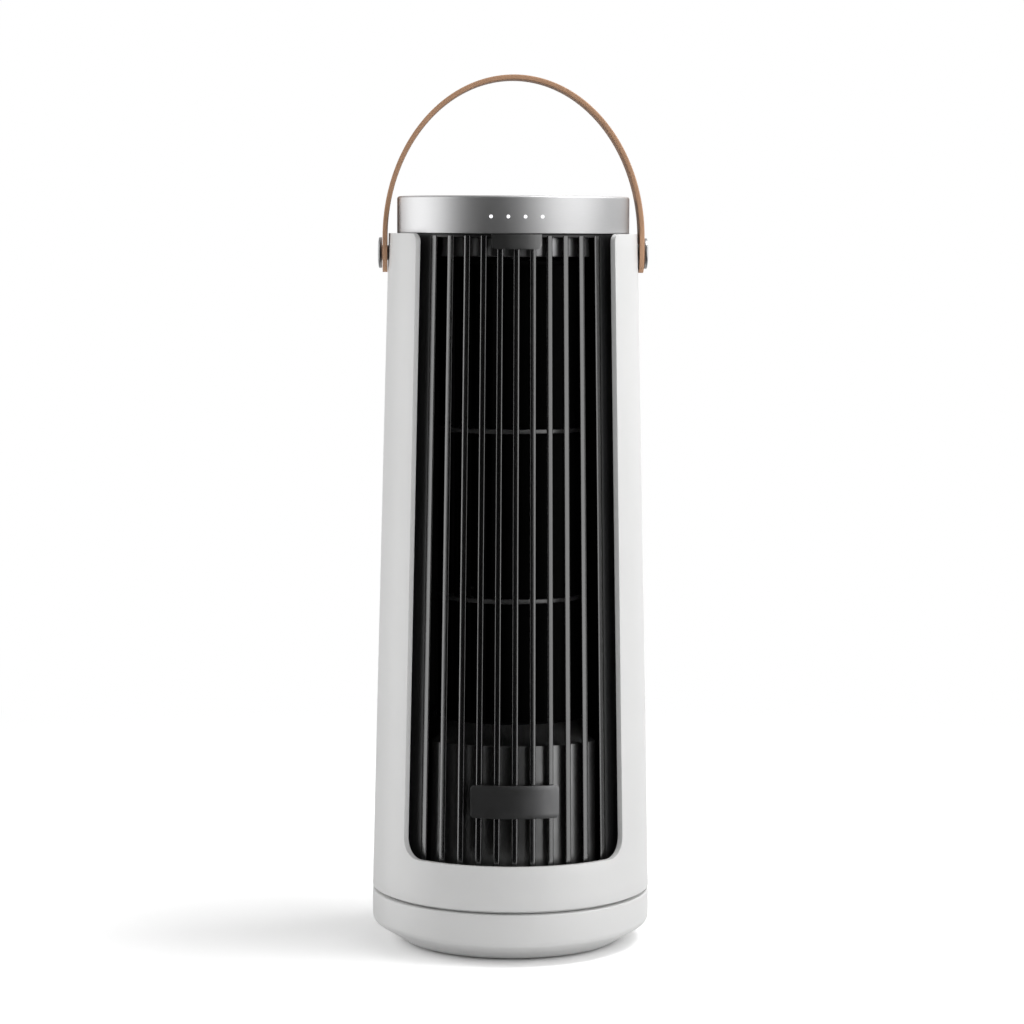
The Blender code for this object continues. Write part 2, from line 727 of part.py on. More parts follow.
def swivel_bush(finish, carrier):
    flange = floor_under - FIT
    profile = [
        (bush_bore, flange - BUSH_FLANGE),
        (bush_radius + HUB_WALL, flange - BUSH_FLANGE),
        (bush_radius + HUB_WALL, flange),
        (bush_radius, flange),
        (bush_radius, hub_top),
        (bush_bore, hub_top),
    ]
    solid("swivel_bush", turned(profile, FINE_ROUND), finish, carrier)


def head_shell(finish, carrier):
    """Tapered tube, open at the front, with a window at the back and holes for the strap's rivets."""
    profile = [
        (BASE_RADIUS - SHELL_WALL, head_bottom),
        (BASE_RADIUS - SHELL_EDGE, head_bottom),
        (shell_radius(head_bottom + SHELL_EDGE), head_bottom + SHELL_EDGE),
        (shell_radius(head_top - SHELL_EDGE), head_top - SHELL_EDGE),
        (HEAD_TOP_RADIUS - SHELL_EDGE, head_top),
        (HEAD_TOP_RADIUS - SHELL_WALL, head_top),
    ]
    shell = solid("head_shell", turned(profile, ROUND), finish, carrier)
    cut(shell, through_wall(front_columns(), shell_radius))
    cut(shell, through_wall(rear_columns(0.0, WINDOW_STEPS), shell_radius, turn=pi))
    bar = cylinder(RIVET_STEM + SLIDE, -BASE_RADIUS - CUT_REACH, BASE_RADIUS + CUT_REACH)
    cut(shell, moved(along_x(bar, 1), pivot))


def through_wall(columns, wall, turn=0.0):
    """A cutter that runs past both faces of a round wall."""
    return arc_panel(columns, lambda z: wall(z) - CUT_REACH, lambda z: wall(z) + CUT_REACH, turn)


def front_columns():
    """Columns of the front opening: rounded at the foot, and flared at the top by the shoulders' rounding."""
    sill = head_bottom + OPENING_SILL
    top = head_top + LAP
    corner = OPENING_CORNER / shell_radius(sill)
    shoulder = OPENING_SHOULDER / HEAD_TOP_RADIUS
    half = [((OPENING_HALF_ANGLE - corner) * i / 3, sill, top) for i in range(4)]
    for i in range(1, OPENING_STEPS + 1):
        turn = pi / 2 * i / OPENING_STEPS
        angle = OPENING_HALF_ANGLE - corner * (1 - sin(turn))
        half.append((angle, sill + OPENING_CORNER * (1 - cos(turn)), top))
    half.append((OPENING_HALF_ANGLE + FIT / HEAD_TOP_RADIUS, head_top - OPENING_SHOULDER, top))
    for i in range(1, CORNER_STEPS + 1):
        turn = pi / 2 * i / CORNER_STEPS
        angle = OPENING_HALF_ANGLE + shoulder * (1 - cos(turn)) + FIT / HEAD_TOP_RADIUS
        half.append((angle, head_top + LAP / 4 - (OPENING_SHOULDER + LAP / 4) * (1 - sin(turn)), top))
    return [(-angle, low, high) for angle, low, high in reversed(half[1:])] + half


def rear_columns(inset, steps):
    """Columns of the rear window, or of a panel that lies inside it by an inset."""
    low = head_bottom + REAR_SILL + inset
    high = head_top - REAR_HEADER - inset
    middle = shell_radius((low + high) / 2)
    corner = max(REAR_CORNER - inset, REAR_BORDER / 4)
    return rounded_columns(REAR_HALF_ANGLE - inset / middle, low, high, middle, corner, steps)


def rear_grille(finish, carrier):
    """Curved intake panel: a rounded frame, upright bars and level ties behind them."""
    def face(z):
        return shell_radius(z) - REAR_RECESS

    def tie_back(z):
        return face(z) - REAR_PANEL + REAR_BAR_SETBACK

    low = head_bottom + REAR_SILL + FIT + REAR_BORDER
    high = head_top - REAR_HEADER - FIT - REAR_BORDER
    panel = arc_panel(rear_columns(FIT, PANEL_STEPS), lambda z: face(z) - REAR_PANEL, face, turn=pi)
    grille = solid("rear_grille", panel, finish, carrier)
    cut(grille, through_wall(rear_columns(FIT + REAR_BORDER, WINDOW_STEPS), face, turn=pi))
    middle = shell_radius((low + high) / 2)
    reach = REAR_HALF_ANGLE - (FIT + REAR_BORDER) / middle
    bars = []
    for i in range(REAR_BARS):
        angle = pi + reach * (2 * (i + 1) / (REAR_BARS + 1) - 1)
        bars.append(upright_bar(angle, low - REAR_BORDER / 2, high + REAR_BORDER / 2, face))
    join(grille, merged(bars))
    ties = []
    for i in range(REAR_TIES):
        height = low + (high - low) * (i + 1) / (REAR_TIES + 1)
        half = REAR_TIE_HEIGHT / 2
        columns = even_columns(reach + LAP / middle, height - half, height + half, PANEL_STEPS)
        ties.append(arc_panel(columns, tie_back, lambda z: tie_back(z) + REAR_TIE_DEPTH, turn=pi))
    join(grille, merged(ties))


def upright_bar(angle, low, high, face):
    """A straight bar that follows the taper at one angle, a little behind the panel's face."""
    loops = []
    for height in (low, high):
        front = face(height) - REAR_BAR_SETBACK
        outer = polar(front, angle, height)
        inner = polar(front - REAR_BAR_DEPTH, angle, height)
        across = Vector((cos(angle), sin(angle), 0)) * (REAR_BAR_WIDTH / 2)
        loops.append([outer - across, outer + across, inner + across, inner - across])
    return lofted(loops)


# Front grille

def grille_radius(height):
    return shell_radius(height) - GRILLE_INSET


def fin_place(index, height):
    """Where a fin's front edge stands: equal steps across, on the grille's curve."""
    x = index * FIN_PITCH * shell_radius(height) / BASE_RADIUS
    front = grille_radius(height) + FIN_PROUD
    return x, -sqrt(front * front - x * x)


def fin(index, low, high):
    """A straight fin along Y with a rounded front edge, leaning with the taper."""
    half = FIN_WIDTH / 2
    turns = [pi * (i / FIN_NOSE_STEPS - 0.5) for i in range(FIN_NOSE_STEPS + 1)]
    nose = [(half * sin(turn), half * (1 - cos(turn))) for turn in turns]
    section = [(-half, FIN_DEPTH), *nose, (half, FIN_DEPTH)]
    loops = []
    for height in (low, high):
        x, y = fin_place(index, height)
        loops.append([Vector((x + across, y + back, height)) for across, back in section])
    return lofted(loops)


def front_grille(finish, carrier):
    """Curved frame behind the opening, with straight-pull upright fins at an equal pitch."""
    low = floor_top + FIT
    high = head_top - FIT / 2
    sill = head_bottom + GRILLE_WINDOW_SILL
    header = high - GRILLE_TOP_RAIL
    frame = arc_panel(
        even_columns(GRILLE_HALF_ANGLE, low, high, PANEL_STEPS + WINDOW_STEPS - 1),
        lambda z: grille_radius(z) - GRILLE_WALL,
        grille_radius,
    )
    grille = solid("front_grille", frame, finish, carrier)
    cut(grille, through_wall(even_columns(GRILLE_WINDOW_ANGLE, sill, header, WINDOW_STEPS), grille_radius))
    fins = []
    for index in range(-FIN_SIDE_COUNT, FIN_SIDE_COUNT + 1):
        fins.append(fin(index, sill - GRILLE_SEAT, header + GRILLE_TOP_RAIL / 2))
    join(grille, merged(fins))


def badge_plate(finish, carrier):
    """Bare name plate, curved like the grille, on two clips that go back between the fins."""
    centre = head_bottom + BADGE_CENTRE
    front = grille_radius(centre) + FIN_PROUD
    low = centre - BADGE_HEIGHT / 2
    seat = grille_radius(low) + FIN_PROUD + FIT
    columns = rounded_columns(asin(BADGE_WIDTH / 2 / front), low, low + BADGE_HEIGHT, front, BADGE_CORNER)
    curved = arc_panel(columns, lambda z: seat, lambda z: seat + BADGE_THICKNESS)
    plate = solid("badge_plate", curved, finish, carrier)
    pitch = FIN_PITCH * shell_radius(centre) / BASE_RADIUS
    clips = []
    for side in (-1, 1):
        x = side * pitch * 1.5
        half = BADGE_CLIP / 2
        rear = -seat + FIN_DEPTH + BADGE_CLIP_REACH
        clips.append(box((x - half, -seat, centre - BADGE_CLIP), (x + half, rear, centre + BADGE_CLIP)))
    join(plate, merged(clips))


def sensor_window(finish, carrier):
    """Dark tab under the cap, on two pins that reach back between the fins to the bearing cup."""
    high = head_top - FIT
    low = high - WINDOW_HEIGHT
    seat = grille_radius(low) + FIN_PROUD + FIT
    columns = rounded_columns(asin(WINDOW_WIDTH / 2 / seat), low, high, seat, WINDOW_CORNER, round_top=False)
    tab = arc_panel(columns, lambda z: seat, lambda z: seat + WINDOW_THICKNESS)
    window = solid("sensor_window", tab, finish, carrier)
    pitch = FIN_PITCH * shell_radius(low) / BASE_RADIUS
    pins = []
    for side in (-1, 1):
        x = side * pitch / 2
        half = WINDOW_PIN / 2
        middle = (low + high) / 2
        front = -seat - WINDOW_THICKNESS / 2
        rear = -sqrt(BEARING_CUP_RADIUS ** 2 - (abs(x) + half) ** 2) - FIT
        pins.append(box((x - half, front, middle - half), (x + half, rear, middle + half)))
    join(window, merged(pins))


# Air path and drive

def ducts(finish, carrier):
    """Upright walls that lead the air through the wheel: a scroll, and a tongue close to the blades."""
    low = floor_top + FIT
    high = head_top - FIT
    scroll_near = WHEEL_RADIUS + SCROLL_CLEAR
    tongue_near = WHEEL_RADIUS + STABILISER_CLEAR
    scroll = []
    for i in range(SCROLL_STEPS + 1):
        share = i / SCROLL_STEPS
        radius = duct_far + (scroll_near - duct_far) * share
        scroll.append((radius, SCROLL_START + (SCROLL_END - SCROLL_START) * share))
    solid("scroll_wall", prism(wall_outline(scroll), low, high), finish, carrier)
    tongue = [(duct_far, STABILISER_START)]
    for i in range(STABILISER_STEPS + 1):
        share = i / STABILISER_STEPS
        radius = tongue_near + (duct_far - tongue_near) * share * share
        tongue.append((radius, STABILISER_TONGUE + (STABILISER_END - STABILISER_TONGUE) * share))
    solid("stabiliser", prism(wall_outline(tongue), low, high), finish, carrier)


def wall_outline(path):
    """The outline of an upright wall along a path of (radius, angle) points."""
    half = DUCT_WALL / 2
    near = [polar(radius - half, angle) for radius, angle in path]
    far = [polar(radius + half, angle) for radius, angle in reversed(path)]
    return [(point.x, point.y) for point in near + far]


def cone_inside(radius):
    """Height of the motor housing's inner roof at a radius."""
    inner = HOUSING_RADIUS - HOUSING_WALL
    share = (inner - radius) / (inner - HOUSING_MOUTH)
    return housing_shoulder - HOUSING_WALL + share * HOUSING_CONE


def motor_housing(finish, carrier):
    """Round cover over the motors, with a low cone that closes in on the motor's shaft."""
    inner = HOUSING_RADIUS - HOUSING_WALL
    profile = [
        (HOUSING_RADIUS, floor_top + FIT),
        (HOUSING_RADIUS, housing_shoulder - HOUSING_EDGE),
        (HOUSING_RADIUS - HOUSING_EDGE, housing_shoulder),
        (HOUSING_MOUTH, housing_top),
        (HOUSING_MOUTH, housing_top - HOUSING_WALL),
        (inner, housing_shoulder - HOUSING_WALL),
        (inner, floor_top + FIT),
    ]
    solid("motor_housing", turned(profile, FINE_ROUND), finish, carrier)


def motors(steel, dark, carrier):
    """The wheel's motor under the housing's roof, and the stepper on the floor over the pinion."""
    neck_top = cone_inside(MOTOR_NECK_RADIUS) - FIT
    can_top = cone_inside(MOTOR_RADIUS) - FIT
    can_bottom = can_top - MOTOR_HEIGHT
    profile = [
        (0, can_bottom),
        (MOTOR_RADIUS, can_bottom),
        (MOTOR_RADIUS, can_top),
        (MOTOR_NECK_RADIUS, can_top),
        (MOTOR_NECK_RADIUS, neck_top),
        (shaft_bore, neck_top),
        (shaft_bore, shaft_foot() - FIT),
        (0, shaft_foot() - FIT),
    ]
    solid("drive_motor", turned(profile, FINE_ROUND), steel, carrier)
    low = floor_top + FIT
    bore = STEPPER_SHAFT + SLIDE
    profile = [
        (bore, low),
        (STEPPER_RADIUS, low),
        (STEPPER_RADIUS, low + STEPPER_HEIGHT),
        (0, low + STEPPER_HEIGHT),
        (0, low + STEPPER_HEIGHT / 2 + FIT),
        (bore, low + STEPPER_HEIGHT / 2 + FIT),
    ]
    stepper = turned(profile, SMALL_ROUND)
    solid("oscillation_motor", moved(stepper, (pinion_place.x, pinion_place.y, 0)), dark, carrier)


def shaft_foot():
    return wheel_bottom + WHEEL_HUB_HEIGHT - SHAFT_LENGTH


def upper_bearing(finish, rubber, carrier):
    """Cup under the deck with a boss that holds the wheel's upper bush."""
    bush_outer = shaft_bore + UPPER_BUSH_WALL
    seat = bush_outer + FIT
    boss = seat + BEARING_BOSS_WALL
    floor = cup_bottom + BEARING_CUP_WALL
    bush_top = cup_bottom + UPPER_BUSH_HEIGHT
    profile = [
        (seat, cup_bottom),
        (BEARING_CUP_RADIUS, cup_bottom),
        (BEARING_CUP_RADIUS, head_top),
        (BEARING_CUP_RADIUS - BEARING_CUP_WALL, head_top),
        (BEARING_CUP_RADIUS - BEARING_CUP_WALL, floor),
        (boss, floor),
        (boss, bush_top),
        (seat, bush_top),
    ]
    solid("upper_bearing_cup", turned(profile, FINE_ROUND), finish, carrier)
    solid("upper_bush", tube(shaft_bore, bush_outer, cup_bottom + FIT, bush_top), rubber, carrier)


def blade_outline(turn):
    """Forward-curved blade: its sweep grows with the square of the way out."""
    outer = WHEEL_RADIUS - BLADE_SETBACK
    near = []
    far = []
    for i in range(BLADE_STEPS + 1):
        share = i / BLADE_STEPS
        radius = outer - BLADE_CHORD * (1 - share)
        angle = turn + BLADE_SWEEP * share * share
        half = BLADE_THICKNESS / 2 / radius
        near.append(polar(radius, angle - half))
        far.append(polar(radius, angle + half))
    return [(point.x, point.y) for point in near + far[::-1]]


def impeller(plastic, steel, carrier):
    """Cross-flow wheel: end plates with hubs, rings between the stages, and blades right through."""
    def end_plate(face, inward):
        plate = face + inward * WHEEL_PLATE
        hub = face + inward * WHEEL_HUB_HEIGHT
        bore = SHAFT_RADIUS + FIT
        profile = [
            (bore, face),
            (WHEEL_RADIUS, face),
            (WHEEL_RADIUS, plate),
            (WHEEL_HUB_RADIUS, plate),
            (WHEEL_HUB_RADIUS, hub),
            (bore, hub),
        ]
        return turned(profile, FINE_ROUND)

    wheel = solid("impeller_wheel", end_plate(wheel_bottom, 1), plastic, carrier)
    rings = [end_plate(wheel_top, -1)]
    for stage in range(1, WHEEL_RINGS + 1):
        low = wheel_top - WHEEL_STAGE * stage - WHEEL_PLATE / 2
        rings.append(tube(WHEEL_RADIUS - WHEEL_RING_WIDTH, WHEEL_RADIUS, low, low + WHEEL_PLATE, FINE_ROUND))
    blades = []
    for i in range(BLADE_COUNT):
        outline = blade_outline(2 * pi * i / BLADE_COUNT)
        blades.append(prism(outline, wheel_bottom + WHEEL_PLATE / 2, wheel_top - WHEEL_PLATE / 2))
    join(wheel, merged(blades))
    join(wheel, merged(rings))
    solid("motor_shaft", cylinder(SHAFT_RADIUS, shaft_foot(), shaft_foot() + SHAFT_LENGTH), steel, carrier)
    stub_foot = wheel_top - WHEEL_HUB_HEIGHT
    solid("stub_shaft", cylinder(SHAFT_RADIUS, stub_foot, stub_foot + STUB_LENGTH), steel, carrier)


# Cap and controls

def top_frame(finish, carrier):
    """Deck under the cap with a collar that hangs inside the shell and holds the strap's rivets."""
    deck = cylinder(deck_radius, deck_bottom, deck_top, ROUND)
    frame = solid("top_frame", deck, finish, carrier)
    under = head_top - COLLAR_HEIGHT
    outer_low = shell_radius(under) - SHELL_WALL - FIT
    outer_high = HEAD_TOP_RADIUS - SHELL_WALL - FIT
    profile = [
        (collar_bore, under),
        (outer_low, under),
        (outer_high, head_top - FIT),
        (deck_radius - FIT, head_top - FIT),
        (deck_radius - FIT, deck_bottom + DECK_THICKNESS / 2),
        (collar_bore, deck_bottom + DECK_THICKNESS / 2),
    ]
    join(frame, turned_arc(profile, pi - COLLAR_HALF_ANGLE, pi + COLLAR_HALF_ANGLE, ARC_STEPS))
    standoffs = []
    for quarter in range(4):
        foot = deck_top - DECK_THICKNESS / 2
        post = cylinder(STANDOFF_RADIUS, foot, deck_top + STANDOFF_HEIGHT, TINY_ROUND)
        standoffs.append(moved(post, polar(board_radius - STANDOFF_INSET, radians(45 + 90 * quarter))))
    join(frame, merged(standoffs))
    bar = cylinder(RIVET_STEM + FIT, -BASE_RADIUS, BASE_RADIUS)
    cut(frame, moved(along_x(bar, 1), pivot))


def led_places():
    return [LED_PITCH * (i - (LED_COUNT - 1) / 2) for i in range(LED_COUNT)]


def cap_ring(finish, carrier):
    """Aluminium band with four holes for the lights."""
    profile = [
        (cap_bore, head_top),
        (cap_radius, head_top),
        (cap_radius, cap_top - CAP_EDGE),
        (cap_radius - CAP_EDGE, cap_top),
        (cap_bore, cap_top),
    ]
    ring = solid("cap_ring", turned(profile, ROUND), finish, carrier)
    holes = []
    for x in led_places():
        reach = CUT_REACH / 2
        hole = cylinder(LED_RADIUS + FIT / 2, cap_bore - reach, cap_radius + reach, TINY_ROUND)
        moved(hole, turn=pi / 2, axis="X")
        holes.append(moved(hole, (x, 0, head_top + LED_HEIGHT)))
    cut(ring, merged(holes))


def led_light_guide(finish, carrier):
    """Clear bar on the board's front edge, with a stub for each light that fills its hole in the cap."""
    span = LED_PITCH * (LED_COUNT - 1) / 2 + GUIDE_END
    half = GUIDE_THICKNESS / 2
    level = head_top + LED_HEIGHT
    reach = deck_radius - FIT
    front = -sqrt(reach ** 2 - span ** 2)
    bar = box((-span, front, level - half), (span, front + GUIDE_DEPTH, level + half))
    guide = solid("led_light_guide", bar, finish, carrier)
    stubs = []
    for x in led_places():
        tip = sqrt(cap_radius ** 2 - x * x) - LED_SINK
        stub = moved(cylinder(LED_RADIUS, -front - LAP, tip, TINY_ROUND), turn=pi / 2, axis="X")
        stubs.append(moved(stub, (x, 0, level)))
    join(guide, merged(stubs))


def control_board(finish, carrier):
    """Circuit board on the deck's standoffs, with a switch under each key."""
    board = cylinder(board_radius, board_bottom, board_top, FINE_ROUND)
    made = solid("control_board", board, finish, carrier)
    half = SWITCH_SIDE / 2
    switches = []
    knobs = []
    for place in button_places():
        switch = box((-half, -half, board_top - BOARD_THICKNESS / 4), (half, half, board_top + SWITCH_HEIGHT))
        switches.append(moved(switch, place))
        knob = cylinder(SWITCH_KNOB, board_top + SWITCH_HEIGHT / 2, switch_top, TINY_ROUND)
        knobs.append(moved(knob, place))
    join(made, merged(switches))
    join(made, merged(knobs))


def button_places():
    """Centres of the keys, in a row across the front half of the panel."""
    return [Vector((BUTTON_PITCH * (i - 1), -BUTTON_ROW, 0)) for i in range(len(button_names))]


def top_panel(finish, carrier):
    """Round panel inside the cap, with a skirt down to the deck that is open over the lights."""
    panel = cylinder(deck_radius, panel_bottom, panel_top, ROUND)
    made = solid("top_panel", panel, finish, carrier)
    profile = [
        (skirt_bore, deck_top + FIT),
        (deck_radius - FIT, deck_top + FIT),
        (deck_radius - FIT, panel_bottom + PANEL_THICKNESS / 2),
        (skirt_bore, panel_bottom + PANEL_THICKNESS / 2),
    ]
    join(made, turned_arc(profile, pi - PANEL_SKIRT_ANGLE, pi + PANEL_SKIRT_ANGLE, ARC_STEPS))
    holes = []
    for place in button_places():
        hole = cylinder(BUTTON_RADIUS + SLIDE, panel_bottom - PANEL_THICKNESS, panel_top + PANEL_THICKNESS)
        holes.append(moved(hole, place))
    cut(made, merged(holes))


def press_button(name, finish, carrier):
    """Round key with a shallow dish, a flange under the panel and a stem over its switch."""
    top = panel_top + BUTTON_PROUD
    flange_top = panel_bottom - FIT
    flange = BUTTON_RADIUS + BUTTON_FLANGE_LIP
    profile = [
        (0, top - BUTTON_DISH),
        (BUTTON_RADIUS - BUTTON_EDGE, top),
        (BUTTON_RADIUS, top - BUTTON_EDGE),
        (BUTTON_RADIUS, flange_top),
        (flange, flange_top),
        (flange, flange_top - BUTTON_FLANGE),
        (BUTTON_STEM, flange_top - BUTTON_FLANGE),
        (BUTTON_STEM, switch_top + BUTTON_TRAVEL + FIT),
        (0, switch_top + BUTTON_TRAVEL + FIT),
    ]
    key = turned(profile, SMALL_ROUND)
    solid(name, moved(key, (carrier.location.x, carrier.location.y, 0)), finish, carrier)


# Handle

def strap_face():
    """Distance from the middle to the strap's inner face at the pivots."""
    return shell_radius(pivot.z) + STRAP_GAP


def strap_stations():
    """The strap's middle line from its left end over the arch to its right end.

    Each station is a point, the outward direction there and half of the strap's width.
    """
    half_width = STRAP_WIDTH / 2
    middle = strap_face() + STRAP_THICKNESS / 2
    spring = pivot.z + STRAP_STRAIGHT
    side = []
    for i in range(STRAP_END_STEPS + 1):
        turn = STRAP_END_ANGLE * (1 - i / STRAP_END_STEPS)
        side.append((pivot.z - half_width * sin(turn), half_width * cos(turn)))
    side.append((pivot.z + STRAP_STRAIGHT / 2, half_width))
    left = [(Vector((-middle, 0, height)), Vector((-1, 0, 0)), width) for height, width in side]
    right = [(Vector((middle, 0, height)), Vector((1, 0, 0)), width) for height, width in reversed(side)]
    rise = STRAP_ARCH - STRAP_THICKNESS / 2
    arch = []
    for i in range(STRAP_STEPS + 1):
        turn = pi * i / STRAP_STEPS
        point = Vector((-middle * cos(turn), 0, spring + rise * sin(turn)))
        normal = Vector((-cos(turn) / middle, 0, sin(turn) / rise)).normalized()
        arch.append((point, normal, half_width))
    return left + arch + right


def handle_strap(finish, carrier):
    """Flat leather strap with eased edges and round ends, bored for the eyelets."""
    half = STRAP_THICKNESS / 2
    loops = []
    for point, normal, width in strap_stations():
        ease = min(STRAP_BEVEL, width / 3)
        section = (
            (-width, -half + ease),
            (-width + ease, -half),
            (width - ease, -half),
            (width, -half + ease),
            (width, half - ease),
            (width - ease, half),
            (-width + ease, half),
            (-width, half - ease),
        )
        loops.append([point + normal * out + Vector((0, across, 0)) for across, out in section])
    strap = solid("handle_strap", lofted(loops), finish, carrier)
    reach = strap_face() + STRAP_THICKNESS * 2
    bore = cylinder(RIVET_STEM + SLIDE + EYELET_WALL + FIT, -reach, reach, SMALL_ROUND)
    cut(strap, moved(along_x(bore, 1), pivot))
    seats = []
    for side in (-1, 1):
        floor = strap_face() + STRAP_THICKNESS - EYELET_FLANGE_THICKNESS - FIT
        seat = cylinder(RIVET_STEM + SLIDE + EYELET_WALL + EYELET_FLANGE + FIT, floor, reach, SMALL_ROUND)
        seats.append(moved(along_x(seat, side), pivot))
    cut(strap, merged(seats))


def handle_hardware(metal, head, handle):
    """Eyelets ride in the strap, and the rivets they turn on are fixed in the head's collar."""
    bore = RIVET_STEM + SLIDE
    outer = strap_face() + STRAP_THICKNESS
    for side, name in ((-1, "left"), (1, "right")):
        eyelet = turned(
            [
                (bore, strap_face()),
                (bore + EYELET_WALL, strap_face()),
                (bore + EYELET_WALL, outer - EYELET_FLANGE_THICKNESS),
                (bore + EYELET_WALL + EYELET_FLANGE, outer - EYELET_FLANGE_THICKNESS),
                (bore + EYELET_WALL + EYELET_FLANGE, outer),
                (bore, outer),
            ],
            SMALL_ROUND,
        )
        solid(f"strap_eyelet_{name}", moved(along_x(eyelet, side), pivot), metal, handle)
        seat = outer + FIT
        rivet = turned(
            [
                (0, collar_bore),
                (RIVET_STEM, collar_bore),
                (RIVET_STEM, seat),
                (RIVET_RADIUS, seat),
                (RIVET_RADIUS, seat + RIVET_HEAD - RIVET_DOME),
                (RIVET_RADIUS - RIVET_DOME, seat + RIVET_HEAD - RIVET_DOME / 3),
                (0, seat + RIVET_HEAD),
            ],
            SMALL_ROUND,
        )
        solid(f"strap_rivet_{name}", moved(along_x(rivet, side), pivot), metal, head)


def main():
    clear_scene()
    white = material("white_plastic", (0.78, 0.78, 0.77), 0.42)
    black = material("black_plastic", (0.018, 0.018, 0.019), 0.38)
    gloss = material("dark_window", (0.010, 0.010, 0.012), 0.12)
    satin = material("dark_satin_plate", (0.045, 0.045, 0.047), 0.32)
    natural = material("natural_acetal", (0.72, 0.71, 0.66), 0.45)
    aluminium = material("brushed_aluminium", (0.72, 0.72, 0.73), 0.30, 1.0)
    steel = material("steel", (0.52, 0.52, 0.53), 0.35, 1.0)
    rubber = material("rubber", (0.030, 0.030, 0.030), 0.80)
    leather = material("tan_leather", (0.38, 0.19, 0.105), 0.58)
    board = material("board_green", (0.020, 0.100, 0.045), 0.50)
    clear = material("light_guide", (0.90, 0.90, 0.92), 0.25)

    base = body("base")
    head = body("head", parent=base)
    handle = body("handle", pivot, head)
    wheel = body("impeller", (0, 0, wheel_bottom), head)
    pinion = body("pinion", pinion_place, head)

    base_housing(white, base)
    base_plate(black, base)
    feet_and_screws(rubber, steel, base)
    base_insides(steel, black, base)
    swivel(black, natural, steel, base)
    oscillation_pinion(natural, pinion)

    head_floor(white, head)
    swivel_bush(natural, head)
    head_shell(white, head)
    rear_grille(black, head)
    front_grille(black, head)
    badge_plate(satin, head)
    sensor_window(gloss, head)
    ducts(black, head)
    motor_housing(black, head)
    motors(steel, black, head)
    upper_bearing(black, rubber, head)
    impeller(black, steel, wheel)

    top_frame(black, head)
    cap_ring(aluminium, head)
    led_light_guide(clear, head)
    control_board(board, head)
    top_panel(black, head)
    for name, place in zip(button_names, button_places()):
        press_button(name, black, body(name + "_body", place + Vector((0, 0, panel_top)), head))

    handle_strap(leather, handle)
    handle_hardware(aluminium, head, handle)


main()
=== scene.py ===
from math import radians

import bmesh
import bpy
import numpy as np
from mathutils import Matrix, Vector


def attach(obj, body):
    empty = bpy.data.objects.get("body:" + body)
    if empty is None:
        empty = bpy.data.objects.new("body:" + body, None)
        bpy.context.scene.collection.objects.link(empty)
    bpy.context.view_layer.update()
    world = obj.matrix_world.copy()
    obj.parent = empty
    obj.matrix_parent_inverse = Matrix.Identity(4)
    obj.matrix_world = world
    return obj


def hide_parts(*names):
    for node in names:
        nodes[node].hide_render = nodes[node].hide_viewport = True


# Portable tower fan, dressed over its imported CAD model.
# Metres, +Z up, front towards -Y. An angle of 0 is the front, and positive angles go to +X.

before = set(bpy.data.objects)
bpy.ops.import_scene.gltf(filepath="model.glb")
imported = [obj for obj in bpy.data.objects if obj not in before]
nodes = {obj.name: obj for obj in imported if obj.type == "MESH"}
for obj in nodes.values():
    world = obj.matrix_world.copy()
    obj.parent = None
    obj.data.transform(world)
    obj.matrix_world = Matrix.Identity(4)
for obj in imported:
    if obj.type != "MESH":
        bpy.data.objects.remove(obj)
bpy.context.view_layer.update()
print("frame loaded:", len(nodes), "CAD nodes")

# Levels and radii that several pieces share, as in the CAD model
body = {
    "baseRadius": 0.0650,
    "baseTop": 0.0240,
    "headBottom": 0.0257,
    "headTop": 0.3310,
    "headTopRadius": 0.0577,
    "wall": 0.0026,
    "fit": 0.0003,
    "pivot": 0.3220,
}
turnSteps = 160  # sides of the large round pieces
mergeDistance = 2e-7
bevelAngle = 38  # degrees from which a sheet's edge is eased
square = np.array([(-1, -1), (1, -1), (1, 1), (-1, 1)])  # corners of an outline, in halves of its width and height


# Radius of the tapered head: a straight line from the base's radius at the bottom to the head's at the top
def headRadius(height):
    share = (height - body["headBottom"]) / (body["headTop"] - body["headBottom"])
    return body["baseRadius"] + share * (body["headTopRadius"] - body["baseRadius"])


# Cylinder coordinates to points: x = r sin a, y = -r cos a
def around(radius, angle, height):
    radius, angle, height = np.broadcast_arrays(radius, angle, height)
    return np.stack([radius * np.sin(angle), -radius * np.cos(angle), height], axis=-1)


# Quads of a grid of rows and columns. A wrapped direction also joins its last line to its first.
def gridFaces(rows, columns, wrapRows=False, wrapColumns=False):
    i = np.arange(rows if wrapRows else rows - 1)[:, None]
    j = np.arange(columns if wrapColumns else columns - 1)[None, :]
    nextRow, nextColumn = (i + 1) % rows, (j + 1) % columns
    corners = [i * columns + j, i * columns + nextColumn, nextRow * columns + nextColumn, nextRow * columns + j]
    return np.stack(np.broadcast_arrays(*corners), axis=-1).reshape(-1, 4)


# One mesh of several grids. Each grid is (points[rows, columns, 3], wrapRows, wrapColumns).
def gridMesh(name, grids):
    points, faces, count = [], [], 0
    for cloud, wrapRows, wrapColumns in grids:
        rows, columns = cloud.shape[:2]
        faces.append(gridFaces(rows, columns, wrapRows, wrapColumns) + count)
        points.append(cloud.reshape(-1, 3))
        count += rows * columns
    mesh = bpy.data.meshes.new(name)
    mesh.from_pydata(np.concatenate(points).tolist(), [], np.concatenate(faces).tolist())
    return mesh


